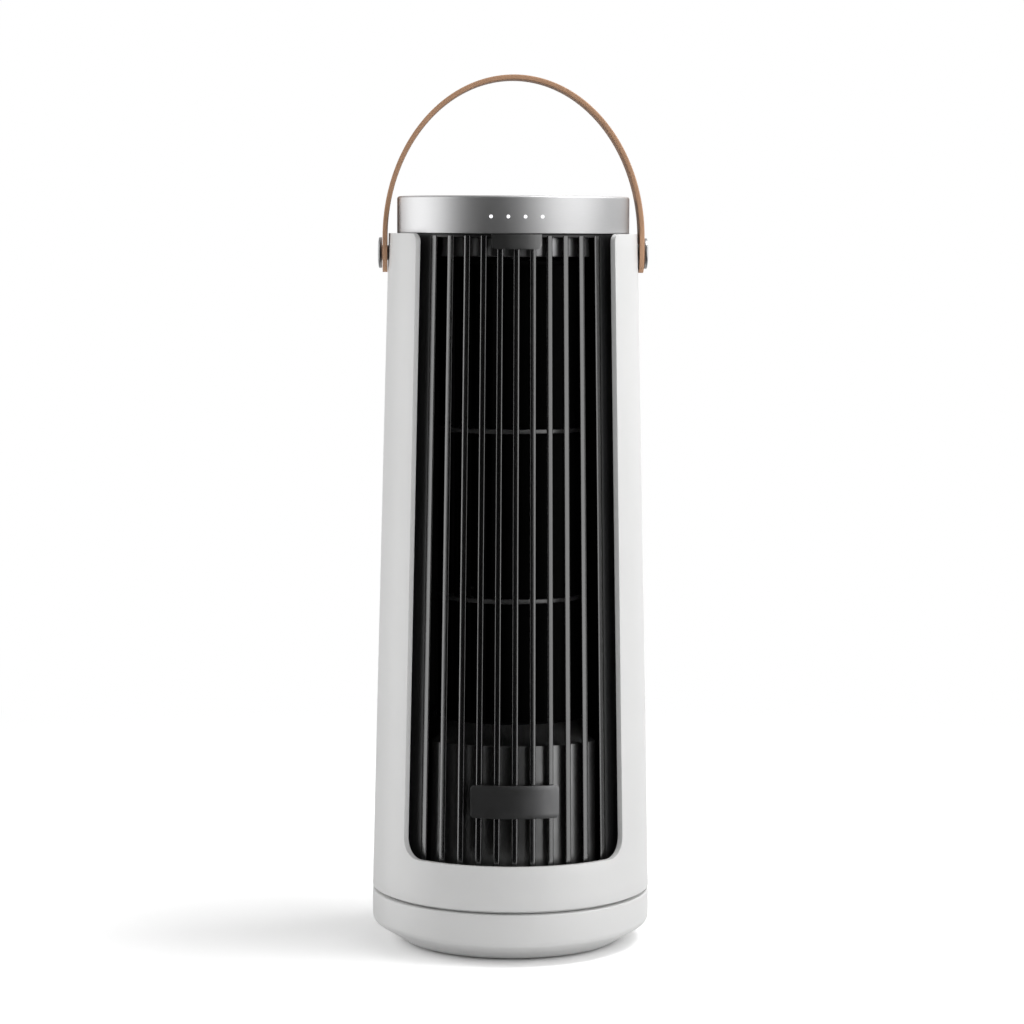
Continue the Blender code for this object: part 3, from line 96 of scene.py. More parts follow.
# Merges doubles, fills open ends that are asked for, and turns all faces outwards
def tidyMesh(mesh, fillEnds=False, outward=True):
    work = bmesh.new()
    work.from_mesh(mesh)
    bmesh.ops.remove_doubles(work, verts=work.verts, dist=mergeDistance)
    bmesh.ops.dissolve_degenerate(work, edges=work.edges, dist=mergeDistance / 2)
    if fillEnds:
        bmesh.ops.holes_fill(work, edges=[edge for edge in work.edges if edge.is_boundary], sides=0)
    if outward:
        bmesh.ops.recalc_face_normals(work, faces=work.faces)
    work.to_mesh(mesh)
    work.free()
    return mesh


# Solid bars: every grid's rows are closed loops, and its two ends are filled
def barMesh(name, clouds):
    return tidyMesh(gridMesh(name, [(cloud, False, True) for cloud in clouds]), fillEnds=True)


# Turns an open sheet round the Z axis so that its faces look away from the axis
def makeOutward(mesh):
    work = bmesh.new()
    work.from_mesh(mesh)
    work.normal_update()
    middles = [(face.normal, face.calc_center_median()) for face in work.faces]
    if sum(normal.x * middle.x + normal.y * middle.y for normal, middle in middles) < 0:
        bmesh.ops.reverse_faces(work, faces=work.faces)
    work.to_mesh(mesh)
    work.free()


def addObject(name, data):
    made = bpy.data.objects.new(name, data)
    bpy.context.scene.collection.objects.link(made)
    return made


# A piece of the fan: its mesh, its finish, the CAD body it rides on and the CAD nodes it stands for
def makePiece(name, mesh, finish, carrier, stands=(), smooth=34):
    mesh.materials.append(finishes[finish])
    mesh.shade_smooth()
    mesh.set_sharp_from_angle(angle=radians(smooth))
    piece = addObject(name, mesh)
    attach(piece, carrier)
    if stands:
        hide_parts(*stands)
    return piece


# Gives an open sheet its wall, towards the inside, and eased edges
def thicken(piece, wall, edge, segments=3):
    solid = piece.modifiers.new("wall", "SOLIDIFY")
    solid.thickness = wall
    solid.offset = -1
    solid.use_even_offset = True
    bevel = piece.modifiers.new("eased edges", "BEVEL")
    bevel.width = edge
    bevel.segments = segments
    bevel.limit_method = "ANGLE"
    bevel.angle_limit = radians(bevelAngle)
    bevel.use_clamp_overlap = True
    bevel.harden_normals = False


# A piece of the head made of one sheet that is laid round the Z axis
def makeSheet(name, cloud, wrapColumns, finish, stands, wall, edge, segments=3):
    mesh = tidyMesh(gridMesh(name, [(cloud, False, wrapColumns)]), outward=False)
    makeOutward(mesh)
    thicken(makePiece(name, mesh, finish, "head", stands), wall, edge, segments)


# Several meshes as one
def together(name, meshes):
    work = bmesh.new()
    for mesh in meshes:
        work.from_mesh(mesh)
        bpy.data.meshes.remove(mesh)
    whole = bpy.data.meshes.new(name)
    work.to_mesh(whole)
    work.free()
    return whole


# The frame of a grille: four loops in even steps from an inner to an outer one, laid on the head's cone
def makeFrame(name, inner, outer, inset, turn, stands, wall, edge):
    loops = inner[None] + (outer - inner)[None] * np.linspace(0, 1, 4)[:, None, None]
    sheet = around(headRadius(loops[..., 1]) - inset, loops[..., 0] + turn, loops[..., 1])
    makeSheet(name, sheet, True, "black", stands, wall, edge, 2)


# Cuts meshes out of a mesh and keeps the result as plain mesh
def carve(mesh, cutters):
    objects = [addObject("carving", part) for part in (mesh, together("cutters", cutters))]
    modifier = objects[0].modifiers.new("cut", "BOOLEAN")
    modifier.operation = "DIFFERENCE"
    modifier.solver = "EXACT"
    modifier.object = objects[1]
    made = bpy.data.meshes.new_from_object(objects[0].evaluated_get(bpy.context.evaluated_depsgraph_get()))
    made.name = mesh.name
    for holder in objects:
        old = holder.data
        bpy.data.objects.remove(holder)
        bpy.data.meshes.remove(old)
    return made


# Rows of vectors at length 1. A row without length stays as it is.
def unit(vectors):
    return vectors / (np.linalg.norm(vectors, axis=1, keepdims=True) + 1e-15)


# Every corner of an outline gives way to an arc. The arc touches both sides at r / tan(half the corner's angle),
# and its points turn evenly from one touching point to the other round the arc's centre.
def eased(corners, radii, steps=4, closed=True):
    corners = np.asarray(corners, float)
    radii = np.broadcast_to(np.asarray(radii, float), len(corners)).copy()
    if not closed:
        radii[[0, -1]] = 0
    back = unit(np.roll(corners, 1, axis=0) - corners)
    ahead = unit(np.roll(corners, -1, axis=0) - corners)
    half = np.arccos(np.clip((back * ahead).sum(1), -1, 1)) / 2
    half = np.clip(half, 0.02, np.pi / 2 - 0.002)
    middle = unit(back + ahead)
    centre = corners + middle * (radii / np.sin(half))[:, None]
    start = corners + back * (radii / np.tan(half))[:, None] - centre
    end = corners + ahead * (radii / np.tan(half))[:, None] - centre
    turn = (np.pi - 2 * half)[:, None, None]
    share = np.linspace(0, 1, steps + 1)[None, :, None]
    arc = (np.sin((1 - share) * turn) * start[:, None] + np.sin(share * turn) * end[:, None]) / np.sin(turn)
    arc = arc + centre[:, None]
    arc[radii == 0] = corners[radii == 0][:, None]
    return arc.reshape(-1, 2)


# Corners of (radius, height), eased where radii are given, spun once round the Z axis. A ring's profile closes
# on itself, and a disc's begins and ends on the axis.
def turned(name, corners, radii=None, steps=4, ring=True, sides=turnSteps):
    profile = np.asarray(corners, float) if radii is None else eased(corners, radii, steps, closed=ring)
    angle = np.linspace(0, 2 * np.pi, sides, endpoint=False)
    cloud = around(profile[:, None, 0], angle[None, :], profile[:, None, 1])
    return tidyMesh(gridMesh(name, [(cloud, ring, True)]))


# A plain cutter for round holes
def drill(radius, low, high, sides):
    return turned("hole", [(0, low), (radius, low), (radius, high), (0, high)], ring=False, sides=sides)


def shifted(mesh, place=(0, 0, 0), turn=0.0, axis="Z"):
    mesh.transform(Matrix.Translation(place) @ Matrix.Rotation(turn, 4, axis))
    return mesh


# A rounded rectangle as a closed loop of (across, up): four sides of even steps, and a quarter arc at each corner
def roundedLoop(half, low, high, cornerAcross, cornerUp, sideSteps, upSteps, arcSteps=8):
    t = np.linspace(0, np.pi / 2, arcSteps + 1)
    arc = np.stack([np.sin(t), 1 - np.cos(t)], axis=1) * (cornerAcross, cornerUp)
    left, right = -half + cornerAcross, half - cornerAcross
    bottom = np.stack([np.linspace(left, right, sideSteps + 1), np.full(sideSteps + 1, low)], axis=1)
    lowerRight = arc + (right, low)
    side = np.stack([np.full(upSteps + 1, half), np.linspace(low + cornerUp, high - cornerUp, upSteps + 1)], axis=1)
    upperRight = np.stack([arc[::-1, 0], -arc[::-1, 1]], axis=1) + (right, high)
    quarter = [bottom[:-1], lowerRight[:-1], side[:-1], upperRight[:-1]]
    mirrored = [np.stack([-part[:, 0], low + high - part[:, 1]], axis=1) for part in quarter]
    return np.concatenate([*quarter, *mirrored])


# Columns of a panel with rounded corners: near each end the foot rises and the head drops by r - sqrt(r^2 - s^2)
def roundedPanel(half, low, high, cornerAcross, cornerUp, across, rows, roundTop=True):
    t = np.linspace(0, np.pi / 2, 9)
    inner = np.linspace(0, half - cornerAcross, across // 2)
    right = np.concatenate([inner[:-1], half - cornerAcross * (1 - np.sin(t))])
    rise = np.concatenate([np.zeros(len(inner) - 1), cornerUp * (1 - np.cos(t))])
    columns = np.concatenate([-right[:0:-1], right])
    rise = np.concatenate([rise[:0:-1], rise])
    share = np.linspace(0, 1, rows)[:, None]
    bottom, top = low + rise, high - (rise if roundTop else 0)
    return columns[None, :] + 0 * share, bottom + (top - bottom) * share


# An outline of (x, z) carried from one y to another as a solid bar
def barAlongY(outline, rows):
    return barMesh("bar", [np.stack([np.c_[outline[:, 0], np.full(len(outline), y), outline[:, 1]] for y in rows])])


# Finishes

# Links each input whose value is a socket, and sets the others
def fill(tree, node, inputs):
    for place, value in inputs.items():
        if isinstance(value, bpy.types.NodeSocket):
            tree.links.new(value, node.inputs[place])
        else:
            node.inputs[place].default_value = value


def addNode(tree, kind, inputs=None, **settings):
    node = tree.nodes.new("ShaderNode" + kind)
    for name, value in settings.items():
        setattr(node, name, value)
    fill(tree, node, inputs or {})
    return node


def calculate(tree, operation, *values):
    return addNode(tree, "Math", dict(enumerate(values)), operation=operation).outputs["Value"]


def mixLevels(tree, share, first, second):
    return addNode(tree, "Mix", {"Factor": share, "A": first, "B": second}).outputs["Result"]


def mixColours(tree, share, first, second, **settings):
    return addNode(tree, "Mix", {"Factor": share, 6: first, 7: second}, data_type="RGBA", **settings).outputs[2]


def objectPlace(tree):
    return addNode(tree, "TexCoord").outputs["Object"]


def nodeTree(name):
    finish = bpy.data.materials.new(name)
    finish.use_nodes = True
    return finish, finish.node_tree, finish.node_tree.nodes["Principled BSDF"]


# Noise that reads Object coordinates, or another source, stretched by sizes per metre
def noise(tree, scale, stretch=(1, 1, 1), detail=3.0, rough=0.5, source=None):
    if source is None:
        source = objectPlace(tree)
    mapping = addNode(tree, "Mapping", {"Vector": source, "Scale": stretch})
    inputs = {"Vector": mapping.outputs["Vector"], "Scale": scale, "Detail": detail, "Roughness": rough}
    return addNode(tree, "TexNoise", inputs).outputs["Fac"]


# Blends two colours by a value, between two of its levels
def blendColours(tree, value, low, high, start=0.35, end=0.65):
    ramp = addNode(tree, "ValToRGB", {"Fac": value})
    for stop, position, colour in zip(ramp.color_ramp.elements, (start, end), (low, high)):
        stop.position = position
        stop.color = (*colour, 1)
    return ramp.outputs["Color"]


# Spreads the middle half of a noise over a range
def spread(tree, value, low, high):
    inputs = {"Value": value, "From Min": 0.25, "From Max": 0.75, "To Min": low, "To Max": high}
    return addNode(tree, "MapRange", inputs).outputs["Result"]


def bump(tree, height, depth, strength=1.0):
    return addNode(tree, "Bump", {"Height": height, "Distance": depth, "Strength": strength}).outputs["Normal"]


# Moulded plastic: a faint cloud in the colour, gloss that drifts, and a fine spark-eroded grain
def mouldedPlastic(name, colour, roughness, grain=2600, depth=0.00001, cloud=0.03, metallic=0.0):
    finish, tree, shader = nodeTree(name)
    colour = np.array(colour)
    pale = np.minimum(colour * (1 + cloud), 1)
    fill(tree, shader, {
        "Base Color": blendColours(tree, noise(tree, 22, detail=2), colour * (1 - cloud), pale, 0.3, 0.7),
        "Roughness": spread(tree, noise(tree, 160, detail=4), roughness * 0.88, roughness * 1.12),
        "Normal": bump(tree, noise(tree, grain, detail=2, rough=0.6), depth),
        "Metallic": metallic,
    })
    return finish


# Metal brushed round an axis: the scratches are noise that runs long round the axis and short along it.
# Around Z the way along is the height, and around X it is the distance from the rivets' axis.
def brushedMetal(name, colour, roughness, axis="Z", streak=5200, depth=0.000002):
    finish, tree, shader = nodeTree(name)
    place = objectPlace(tree)
    if axis == "X":
        place = addNode(tree, "Mapping", {"Vector": place, "Location": (0, 0, -body["pivot"])}).outputs["Vector"]
    split = addNode(tree, "SeparateXYZ", {"Vector": place}).outputs
    flat = [split[letter] for letter in ("YZ" if axis == "X" else "XY")]
    turn = calculate(tree, "MULTIPLY", calculate(tree, "ARCTAN2", *flat), 0.012)
    reach = calculate(tree, "SQRT", calculate(tree, "ADD", *[calculate(tree, "POWER", part, 2) for part in flat]))
    joined = addNode(tree, "CombineXYZ", {"X": turn, "Y": reach, "Z": split[axis]})
    scratch = noise(tree, streak, (0.25, 1, 1), detail=5, rough=0.65, source=joined.outputs["Vector"])
    colour = np.array(colour)
    fill(tree, shader, {
        "Base Color": blendColours(tree, scratch, colour * 0.97, np.minimum(colour * 1.03, 1), 0.3, 0.7),
        "Roughness": spread(tree, scratch, roughness * 0.9, roughness * 1.1),
        "Normal": bump(tree, scratch, depth, 0.35),
        "Metallic": 1.0,
    })
    return finish


# Plain machined or plated metal for the parts inside
def platedMetal(name, colour, roughness):
    finish, tree, shader = nodeTree(name)
    colour = np.array(colour)
    cloud = noise(tree, 300, detail=5)
    fill(tree, shader, {
        "Base Color": blendColours(tree, cloud, colour * 0.85, colour * 1.05),
        "Roughness": spread(tree, cloud, roughness * 0.8, roughness * 1.3),
        "Normal": bump(tree, noise(tree, 1800, detail=3), 0.000008),
        "Metallic": 1.0,
    })
    return finish


# Veg-tanned leather: pebbles from Voronoi cells, fine pores and a cloudy tan. By the strap's own "edge" attribute
# the colour turns to the burnished one of the cut edge, and the grain fades out as 1 - edge.
def tanLeather(name, tan, pale, burnt):
    finish, tree, shader = nodeTree(name)
    edge = addNode(tree, "Attribute", attribute_name="edge").outputs["Fac"]
    face = blendColours(tree, noise(tree, 60, detail=6, rough=0.6), tan, pale, 0.3, 0.72)
    rim = blendColours(tree, noise(tree, 90, detail=3), burnt, np.array(burnt) * 1.08)
    cells = addNode(tree, "TexVoronoi", {"Vector": objectPlace(tree), "Scale": 1150}).outputs["Distance"]
    seams = blendColours(tree, cells, (0.72, 0.68, 0.64), (1, 1, 1), 0.0, 0.4)
    pores = noise(tree, 4200, detail=3)
    height = calculate(tree, "MULTIPLY_ADD", pores, 0.35, cells)
    grain = calculate(tree, "MULTIPLY", height, calculate(tree, "SUBTRACT", 1.0, edge))
    fill(tree, shader, {
        "Base Color": mixColours(tree, 0.14, mixColours(tree, edge, face, rim), seams, blend_type="MULTIPLY"),
        "Roughness": spread(tree, pores, 0.46, 0.66),
        "Normal": bump(tree, grain, 0.00005, 0.5),
    })
    return finish


# A light that shines a little through frosted plastic
def frostedLight(name, colour, glow):
    finish, tree, shader = nodeTree(name)
    tone = blendColours(tree, noise(tree, 1500), np.array(colour) * 0.94, colour)
    fill(tree, shader, {"Base Color": tone, "Emission Color": tone, "Emission Strength": glow, "Roughness": 0.3})
    return finish


# Circuit board: green lacquer with a faint weave of glass cloth under it
def circuitBoard(name, colour):
    finish, tree, shader = nodeTree(name)
    inputs = {"Vector": objectPlace(tree), "Scale": 600, "Distortion": 1.5}
    weave = addNode(tree, "TexWave", inputs).outputs["Fac"]
    colour = np.array(colour)
    fill(tree, shader, {
        "Base Color": blendColours(tree, weave, colour * 0.8, colour * 1.2),
        "Roughness": spread(tree, weave, 0.3, 0.42),
        "Normal": bump(tree, weave, 0.00001),
    })
    return finish


def grey(level, warmth=0.0):
    return (level, level, level + warmth)


finishes = {
    "white": mouldedPlastic("white plastic", grey(0.80, -0.005), 0.36, cloud=0.012),
    "black": mouldedPlastic("black plastic", grey(0.012, 0.0005), 0.34, depth=0.000006, cloud=0.15),
    "fins": mouldedPlastic("fin plastic", grey(0.0040, 0.0001), 0.22, depth=0.000001, cloud=0.12),
    # Inner plastic: near black, with the dulled reflection set below, as painted shade on the parts deep inside the
    # head
    "inside": mouldedPlastic("inner plastic darkened as painted shade", grey(0.0030), 0.5, cloud=0.1),
    "housing": mouldedPlastic("motor cover plastic", grey(0.008, 0.0001), 0.38, depth=0.000004, cloud=0.05),
    # Wheel rings: the wheel's own plastic made lighter and glossier than its blades and plates, a lit copy as painted
    # light
    "rings": mouldedPlastic("wheel ring plastic lightened as painted light", grey(0.05, 0.001), 0.32, cloud=0.08),
    "cup": mouldedPlastic("bearing cup metal", grey(0.40, 0.003), 0.38, depth=0.000004, cloud=0.04, metallic=0.95),
    "window": mouldedPlastic("dark window", grey(0.006, 0.0003), 0.40, grain=900, depth=0.000002, cloud=0.1),
    "plate": mouldedPlastic("dark satin plate", grey(0.21, 0.003), 0.36, grain=3400, depth=0.000003, metallic=0.9),
    "natural": mouldedPlastic("natural acetal", (0.72, 0.71, 0.66), 0.45),
    "aluminium": brushedMetal("brushed aluminium", grey(0.74, 0.005), 0.54),
    "rivet": brushedMetal("turned aluminium", grey(0.62), 0.30, axis="X", streak=3600),
    "steel": platedMetal("steel", grey(0.52, 0.01), 0.32),
    "rubber": mouldedPlastic("rubber", grey(0.030), 0.75, grain=1700, depth=0.00003, cloud=0.2),
    "leather": tanLeather("tan leather", (0.38, 0.205, 0.120), (0.45, 0.255, 0.155), (0.56, 0.325, 0.195)),
    "board": circuitBoard("board green", (0.020, 0.100, 0.045)),
    "light": frostedLight("light guide", grey(0.92, 0.02), 0.9),
    "mark": mouldedPlastic("printed marks", grey(0.62), 0.5),
}
# Refraction and specular level where a finish reflects more than plain plastic, as a polished mould does,
# or less. The inner plastic's dulled reflection is painted shade, and the rings' extra gloss is part of their painted
# lit copy
glosses = {"fins": (1.75, 1.0), "inside": (1.25, 0.2), "housing": (2.2, 1.0), "rings": (2.0, 1.0), "window": (2.2, 1.0)}
for finishName, (refraction, level) in glosses.items():
    tree = finishes[finishName].node_tree
    fill(tree, tree.nodes["Principled BSDF"], {"IOR": refraction, "Specular IOR Level": level})
print("finishes made:", len(finishes))


# Base

baseHousing = {
    "underRadius": 0.0510,
    "footShow": 0.0010,
    "slopeTop": 0.0095,
    "knee": 0.0036,
    "edge": 0.0009,
    "wall": 0.0025,
    "grooveIn": 0.0467,
    "grooveOut": 0.0553,
    "grooveFloor": 0.0227,
    "wellRadius": 0.0330,
    "wellFloor": 0.0145,
    "bore": 0.0053,
    "lipTop": 0.0045,
    "innerRise": 0.0015,
    "inletHole": 0.0049,
    "inletHeight": 0.0150,
}


# Ring profile of the base: sloping underside, upright side, a groove for the thrust ring and the gear well
def makeBaseHousing():
    b = baseHousing
    outer, top = body["baseRadius"], body["baseTop"]
    ceiling = b["grooveFloor"] - b["wall"]
    lip = b["underRadius"] - b["wall"] + body["fit"]
    corners = [
        (lip, b["footShow"]), (b["underRadius"], b["footShow"]), (outer, b["slopeTop"]), (outer, top),
        (b["grooveOut"], top), (b["grooveOut"], b["grooveFloor"]),
        (b["grooveIn"], b["grooveFloor"]), (b["grooveIn"], top), (b["wellRadius"], top),
        (b["wellRadius"], b["wellFloor"]), (b["bore"], b["wellFloor"]), (b["bore"], b["wellFloor"] - b["wall"]),
        (b["wellRadius"] + b["wall"], b["wellFloor"] - b["wall"]), (b["wellRadius"] + b["wall"], ceiling),
        (outer - b["wall"], ceiling), (outer - b["wall"], b["slopeTop"] + b["innerRise"]), (lip, b["lipTop"]),
    ]
    radii = [0.0004, 0.0006, b["knee"], b["edge"], 0.0002, 0, 0, 0.0002, 0.0004, 0, 0, 0, 0, 0, 0, 0, 0]
    mesh = turned("baseHousing", corners, radii, 8, sides=240)
    hole = drill(b["inletHole"], -0.006, 0.006, 64)
    mesh = carve(mesh, [shifted(hole, (0, outer - b["wall"], b["inletHeight"]), radians(90), "X")])
    makePiece("baseHousing", mesh, "white", "base", ["base_housing"])


basePlate = {"radius": 0.0485, "low": 0.0010, "high": 0.0032, "footCircle": 0.0360, "footSeat": 0.0063,
             "seatDepth": 0.0021, "screwCircle": 0.0440, "sink": 0.0029, "sinkDepth": 0.0012, "screwHole": 0.0016,
             "cutLow": -0.001, "cutHigh": 0.004}
quarters = [radians(90 * quarter) for quarter in range(4)]


def footPlace(turn):
    return around(basePlate["footCircle"], turn, 0.0)


def screwPlace(turn):
    return around(basePlate["screwCircle"], turn + radians(45), 0.0)


# Disc with four round seats for the feet and four sunk holes for the screws
def makeBasePlate():
    b = basePlate
    corners = [(0, b["low"]), (b["radius"], b["low"]), (b["radius"], b["high"]), (0, b["high"])]
    mesh = turned("basePlate", corners, 0.0003, 3, False, 128)
    sunk = b["low"] + b["sinkDepth"]
    low, high = b["cutLow"], b["cutHigh"]
    steps = [(0, low), (b["sink"], low), (b["sink"], sunk), (b["screwHole"], sunk), (b["screwHole"], high), (0, high)]
    cutters = []
    for turn in quarters:
        cutters.append(shifted(drill(b["footSeat"], low, b["seatDepth"], 48), footPlace(turn)))
        cutters.append(shifted(turned("sunk", steps, ring=False, sides=32), screwPlace(turn)))
    makePiece("basePlate", carve(mesh, cutters), "black", "base", ["base_plate"], smooth=10)


foot = {"radius": 0.0060, "high": 0.0018, "edge": 0.0006, "dish": 0.0002}
screw = {"head": 0.0026, "low": 0.0013, "under": 0.0018, "shank": 0.0013, "end": 0.0110, "slot": 0.0007,
         "slotReach": 0.0016, "slotDepth": 0.0004, "point": 0.0008, "tip": 0.0004}


# Four rubber feet: a disc with a rounded foot edge and a slight dish underneath
def makeFeet():
    f = foot
    corners = [(0, f["dish"]), (f["radius"] * 0.7, f["dish"]), (f["radius"] * 0.78, 0), (f["radius"], 0),
               (f["radius"], f["high"]), (0, f["high"])]
    radii = [0, 0.0004, 0.0004, f["edge"], 0.0002, 0]
    for number, turn in enumerate(quarters, 1):
        mesh = shifted(turned("rubberFoot", corners, radii, 5, False, 64), footPlace(turn))
        makePiece(f"rubberFoot{number}", mesh, "rubber", "base", [f"rubber_foot_{number}"])


# Four pan screws with a cross recess
def makeScrews():
    s = screw
    corners = [(0, s["low"]), (s["head"], s["low"]), (s["head"], s["under"]), (s["shank"], s["under"]),
               (s["shank"], s["end"] - s["point"]), (s["tip"], s["end"]), (0, s["end"])]
    radii = [0, 0.00025, 0, 0, 0.0002, 0, 0]
    side = square * (s["slotReach"], s["slot"] / 2)
    slot = np.stack([np.c_[side, np.full(4, level)] for level in (0.0, s["low"] + s["slotDepth"])])
    for number, turn in enumerate(quarters, 1):
        mesh = turned("baseScrew", corners, radii, 3, False, 40)
        for cross in (0, 90):
            mesh = carve(mesh, [shifted(barMesh("bar", [slot]), turn=radians(cross))])
        shifted(mesh, screwPlace(turn), radians(25 * (number - 1)))
        makePiece(f"baseScrew{number}", mesh, "steel", "base", [f"base_screw_{number}"])


powerInlet = {"radius": 0.0046, "depth": 0.0120, "face": 0.0640, "bore": 0.0029, "boreDepth": 0.0090, "pin": 0.0009}


# Round socket seen from the back: a rim with an eased edge, a deep bore and a pin in its middle
def makePowerInlet():
    p = powerInlet
    floor, tip = p["depth"] - p["boreDepth"], p["depth"] - 2 * p["pin"]
    corners = [(0, 0), (p["radius"], 0), (p["radius"], p["depth"]), (p["bore"], p["depth"]), (p["bore"], floor),
               (p["pin"], floor), (p["pin"], tip), (0, tip)]
    mesh = turned("powerInlet", corners, [0, 0.0002, 0.0004, 0.0005, 0, 0, 0.0004, 0], 4, False, 64)
    shifted(mesh, turn=radians(-90), axis="X")
    shifted(mesh, (0, p["face"] - p["depth"], baseHousing["inletHeight"]))
    makePiece("powerInlet", mesh, "black", "base", ["power_inlet"])


makeBaseHousing()
makeBasePlate()
makeFeet()
makeScrews()
makePowerInlet()
print("base made")


# Head shell

shell = {
    "halfAngle": 51.3,  # front opening, each way
    "sill": 0.0458,
    "corner": 0.0095,
    "shoulder": 0.0037,
    "rearHalfAngle": 58.0,
    "rearLow": 0.0480,
    "rearHigh": 0.3160,
    "rearCorner": 0.0080,
    "rearLevel": 0.18,  # where the width of the rear corners is measured
    "edge": 0.0008,
}


# How far a rounded corner has risen at a distance into it: r - sqrt(r^2 - s^2)
def cornerRise(distance, radius):
    inside = np.clip(distance, 0, radius)
    return radius - np.sqrt(radius * radius - inside * inside)


# Tapered sheet in three bands of one set of columns: a full ring up to the sills, a panel on each side,
# and the top band from one side of the opening round the back to the other. Heights follow the openings'
# rounded corners, and every point lies on the head's cone.
def makeHeadShell():
    s = shell
    edge, back = radians(s["halfAngle"]), np.pi - radians(s["rearHalfAngle"])
    sillRadius, topRadius = headRadius(s["sill"]), headRadius(body["headTop"])
    backRadius = headRadius(s["rearLevel"])
    frontCorner, shoulder = s["corner"] / sillRadius, s["shoulder"] / topRadius
    rearCorner = s["rearCorner"] / backRadius
    quarter = np.linspace(0, np.pi / 2, 13)
    front = np.concatenate([np.linspace(0, edge - frontCorner, 25)[:-1], edge - frontCorner * (1 - np.sin(quarter))])
    side = np.concatenate([edge + shoulder * (1 - np.cos(quarter)), np.linspace(edge + shoulder, back, 33)[1:]])
    rear = np.concatenate([back + rearCorner * (1 - np.cos(quarter)), np.linspace(back + rearCorner, np.pi, 29)[1:]])
    half = np.concatenate([front[:-1], side[:-1], rear])
    ring = np.concatenate([half, 2 * np.pi - half[-2:0:-1]])
    over = np.concatenate([side[:-1], rear])
    over = np.concatenate([over, 2 * np.pi - over[-2::-1]])

    def mirrored(angle):
        return np.where(angle > np.pi, 2 * np.pi - angle, angle)

    def sill(angle):
        inFront = s["sill"] + cornerRise((angle - edge + frontCorner) * sillRadius, s["corner"])
        inRear = s["rearLow"] + cornerRise((back + rearCorner - angle) * backRadius, s["rearCorner"])
        share = (angle - edge) / (back - edge)
        onSide = s["sill"] + s["corner"] + share * (s["rearLow"] + s["rearCorner"] - s["sill"] - s["corner"])
        return np.where(angle < edge, inFront, np.where(angle > back, inRear, onSide))

    def header(angle):
        inRear = s["rearHigh"] - cornerRise((back + rearCorner - angle) * backRadius, s["rearCorner"])
        return np.where(angle > back, inRear, s["rearHigh"] - s["rearCorner"])

    def crown(angle):
        return body["headTop"] - cornerRise((edge + shoulder - angle) * topRadius, s["shoulder"])

    def band(angle, low, high, rows, wrap=False):
        height = low + (high - low) * np.linspace(0, 1, rows)[:, None]
        return around(headRadius(height), angle[None, :], height), False, wrap

    mirror, overMirror = mirrored(ring), mirrored(over)
    bands = [
        band(ring, body["headBottom"] + 0 * mirror, sill(mirror), 5, True),
        band(side, sill(side), header(side), 15),
        band(-side[::-1], sill(side[::-1]), header(side[::-1]), 15),
        band(over, header(overMirror), crown(overMirror), 4),
    ]
    mesh = tidyMesh(gridMesh("headShell", bands), outward=False)
    thicken(makePiece("headShell", mesh, "white", "head", ["head_shell"], smooth=30), body["wall"], s["edge"])


headFloor = {"rim": 0.0596, "outer": 0.0621, "under": 0.0255, "top": 0.0285, "rimTop": 0.0335, "rimFoot": 0.0243,
             "bore": 0.0106, "hub": 0.0132, "hubTop": 0.0314, "draft": 0.0002}


# Turntable whose rim fills the groove between base and head
def makeHeadFloor():
    h = headFloor
    step = body["headBottom"] + body["fit"]
    corners = [(h["bore"], h["under"]), (h["rim"], h["under"]), (h["rim"], h["rimFoot"]), (h["outer"], h["rimFoot"]),
               (h["outer"], step), (h["outer"] - h["draft"], h["rimTop"]), (h["rim"], h["rimTop"]),
               (h["rim"], h["top"]), (h["hub"], h["top"]), (h["hub"], h["hubTop"]), (h["bore"], h["hubTop"])]
    mesh = turned("headFloor", corners, [0, 0, 0.0002, 0.0002, 0, 0.0002, 0, 0, 0, 0, 0], 3)
    makePiece("headFloor", mesh, "white", "head", ["head_floor"])


makeHeadShell()
makeHeadFloor()
print("head shell made")


# Front grille

grille = {
    "inset": 0.0060,
    "wall": 0.0020,
    "halfAngle": 62.0,
    "windowHalfAngle": 46.3,
    "low": 0.0288,
    "sill": 0.0400,
    "header": 0.32935,
    "high": 0.33085,
    "edge": 0.0003,
    "finsEachSide": 5,
    "pitch": 0.0083,
    "finWidth": 0.0027,
    "finDepth": 0.0040,
    "outerDepth": 0.0085,
    "depthPower": 8,
    "backShare": 0.8,
    "backEase": 0.0004,
    "finProud": 0.0003,
    "noseDepth": 0.0009,
    "noseSquareness": 3.3,
    "finLow": 0.0340,
    "finHigh": 0.3300,
}


def grilleRadius(height):
    return headRadius(height) - grille["inset"]


# How far out a plate sits that lies on the fins, measured at its lower edge
def plateSeat(low, thickness):
    return grilleRadius(low) + grille["finProud"] + body["fit"] + thickness


# Curved frame: a ring between the window's loop and the outer loop, laid on the grille's cone
def makeGrilleFrame():
    g = grille
    inner, outer = [roundedLoop(radians(half), low, high, 0.004, 0.0003, 40, 12, 2) for half, low, high in (
        (g["windowHalfAngle"], g["sill"], g["header"]), (g["halfAngle"], g["low"], g["high"]))]
    makeFrame("grilleFrame", inner[::-1], outer[::-1], g["inset"], 0, ["front_grille"], g["wall"], g["edge"])


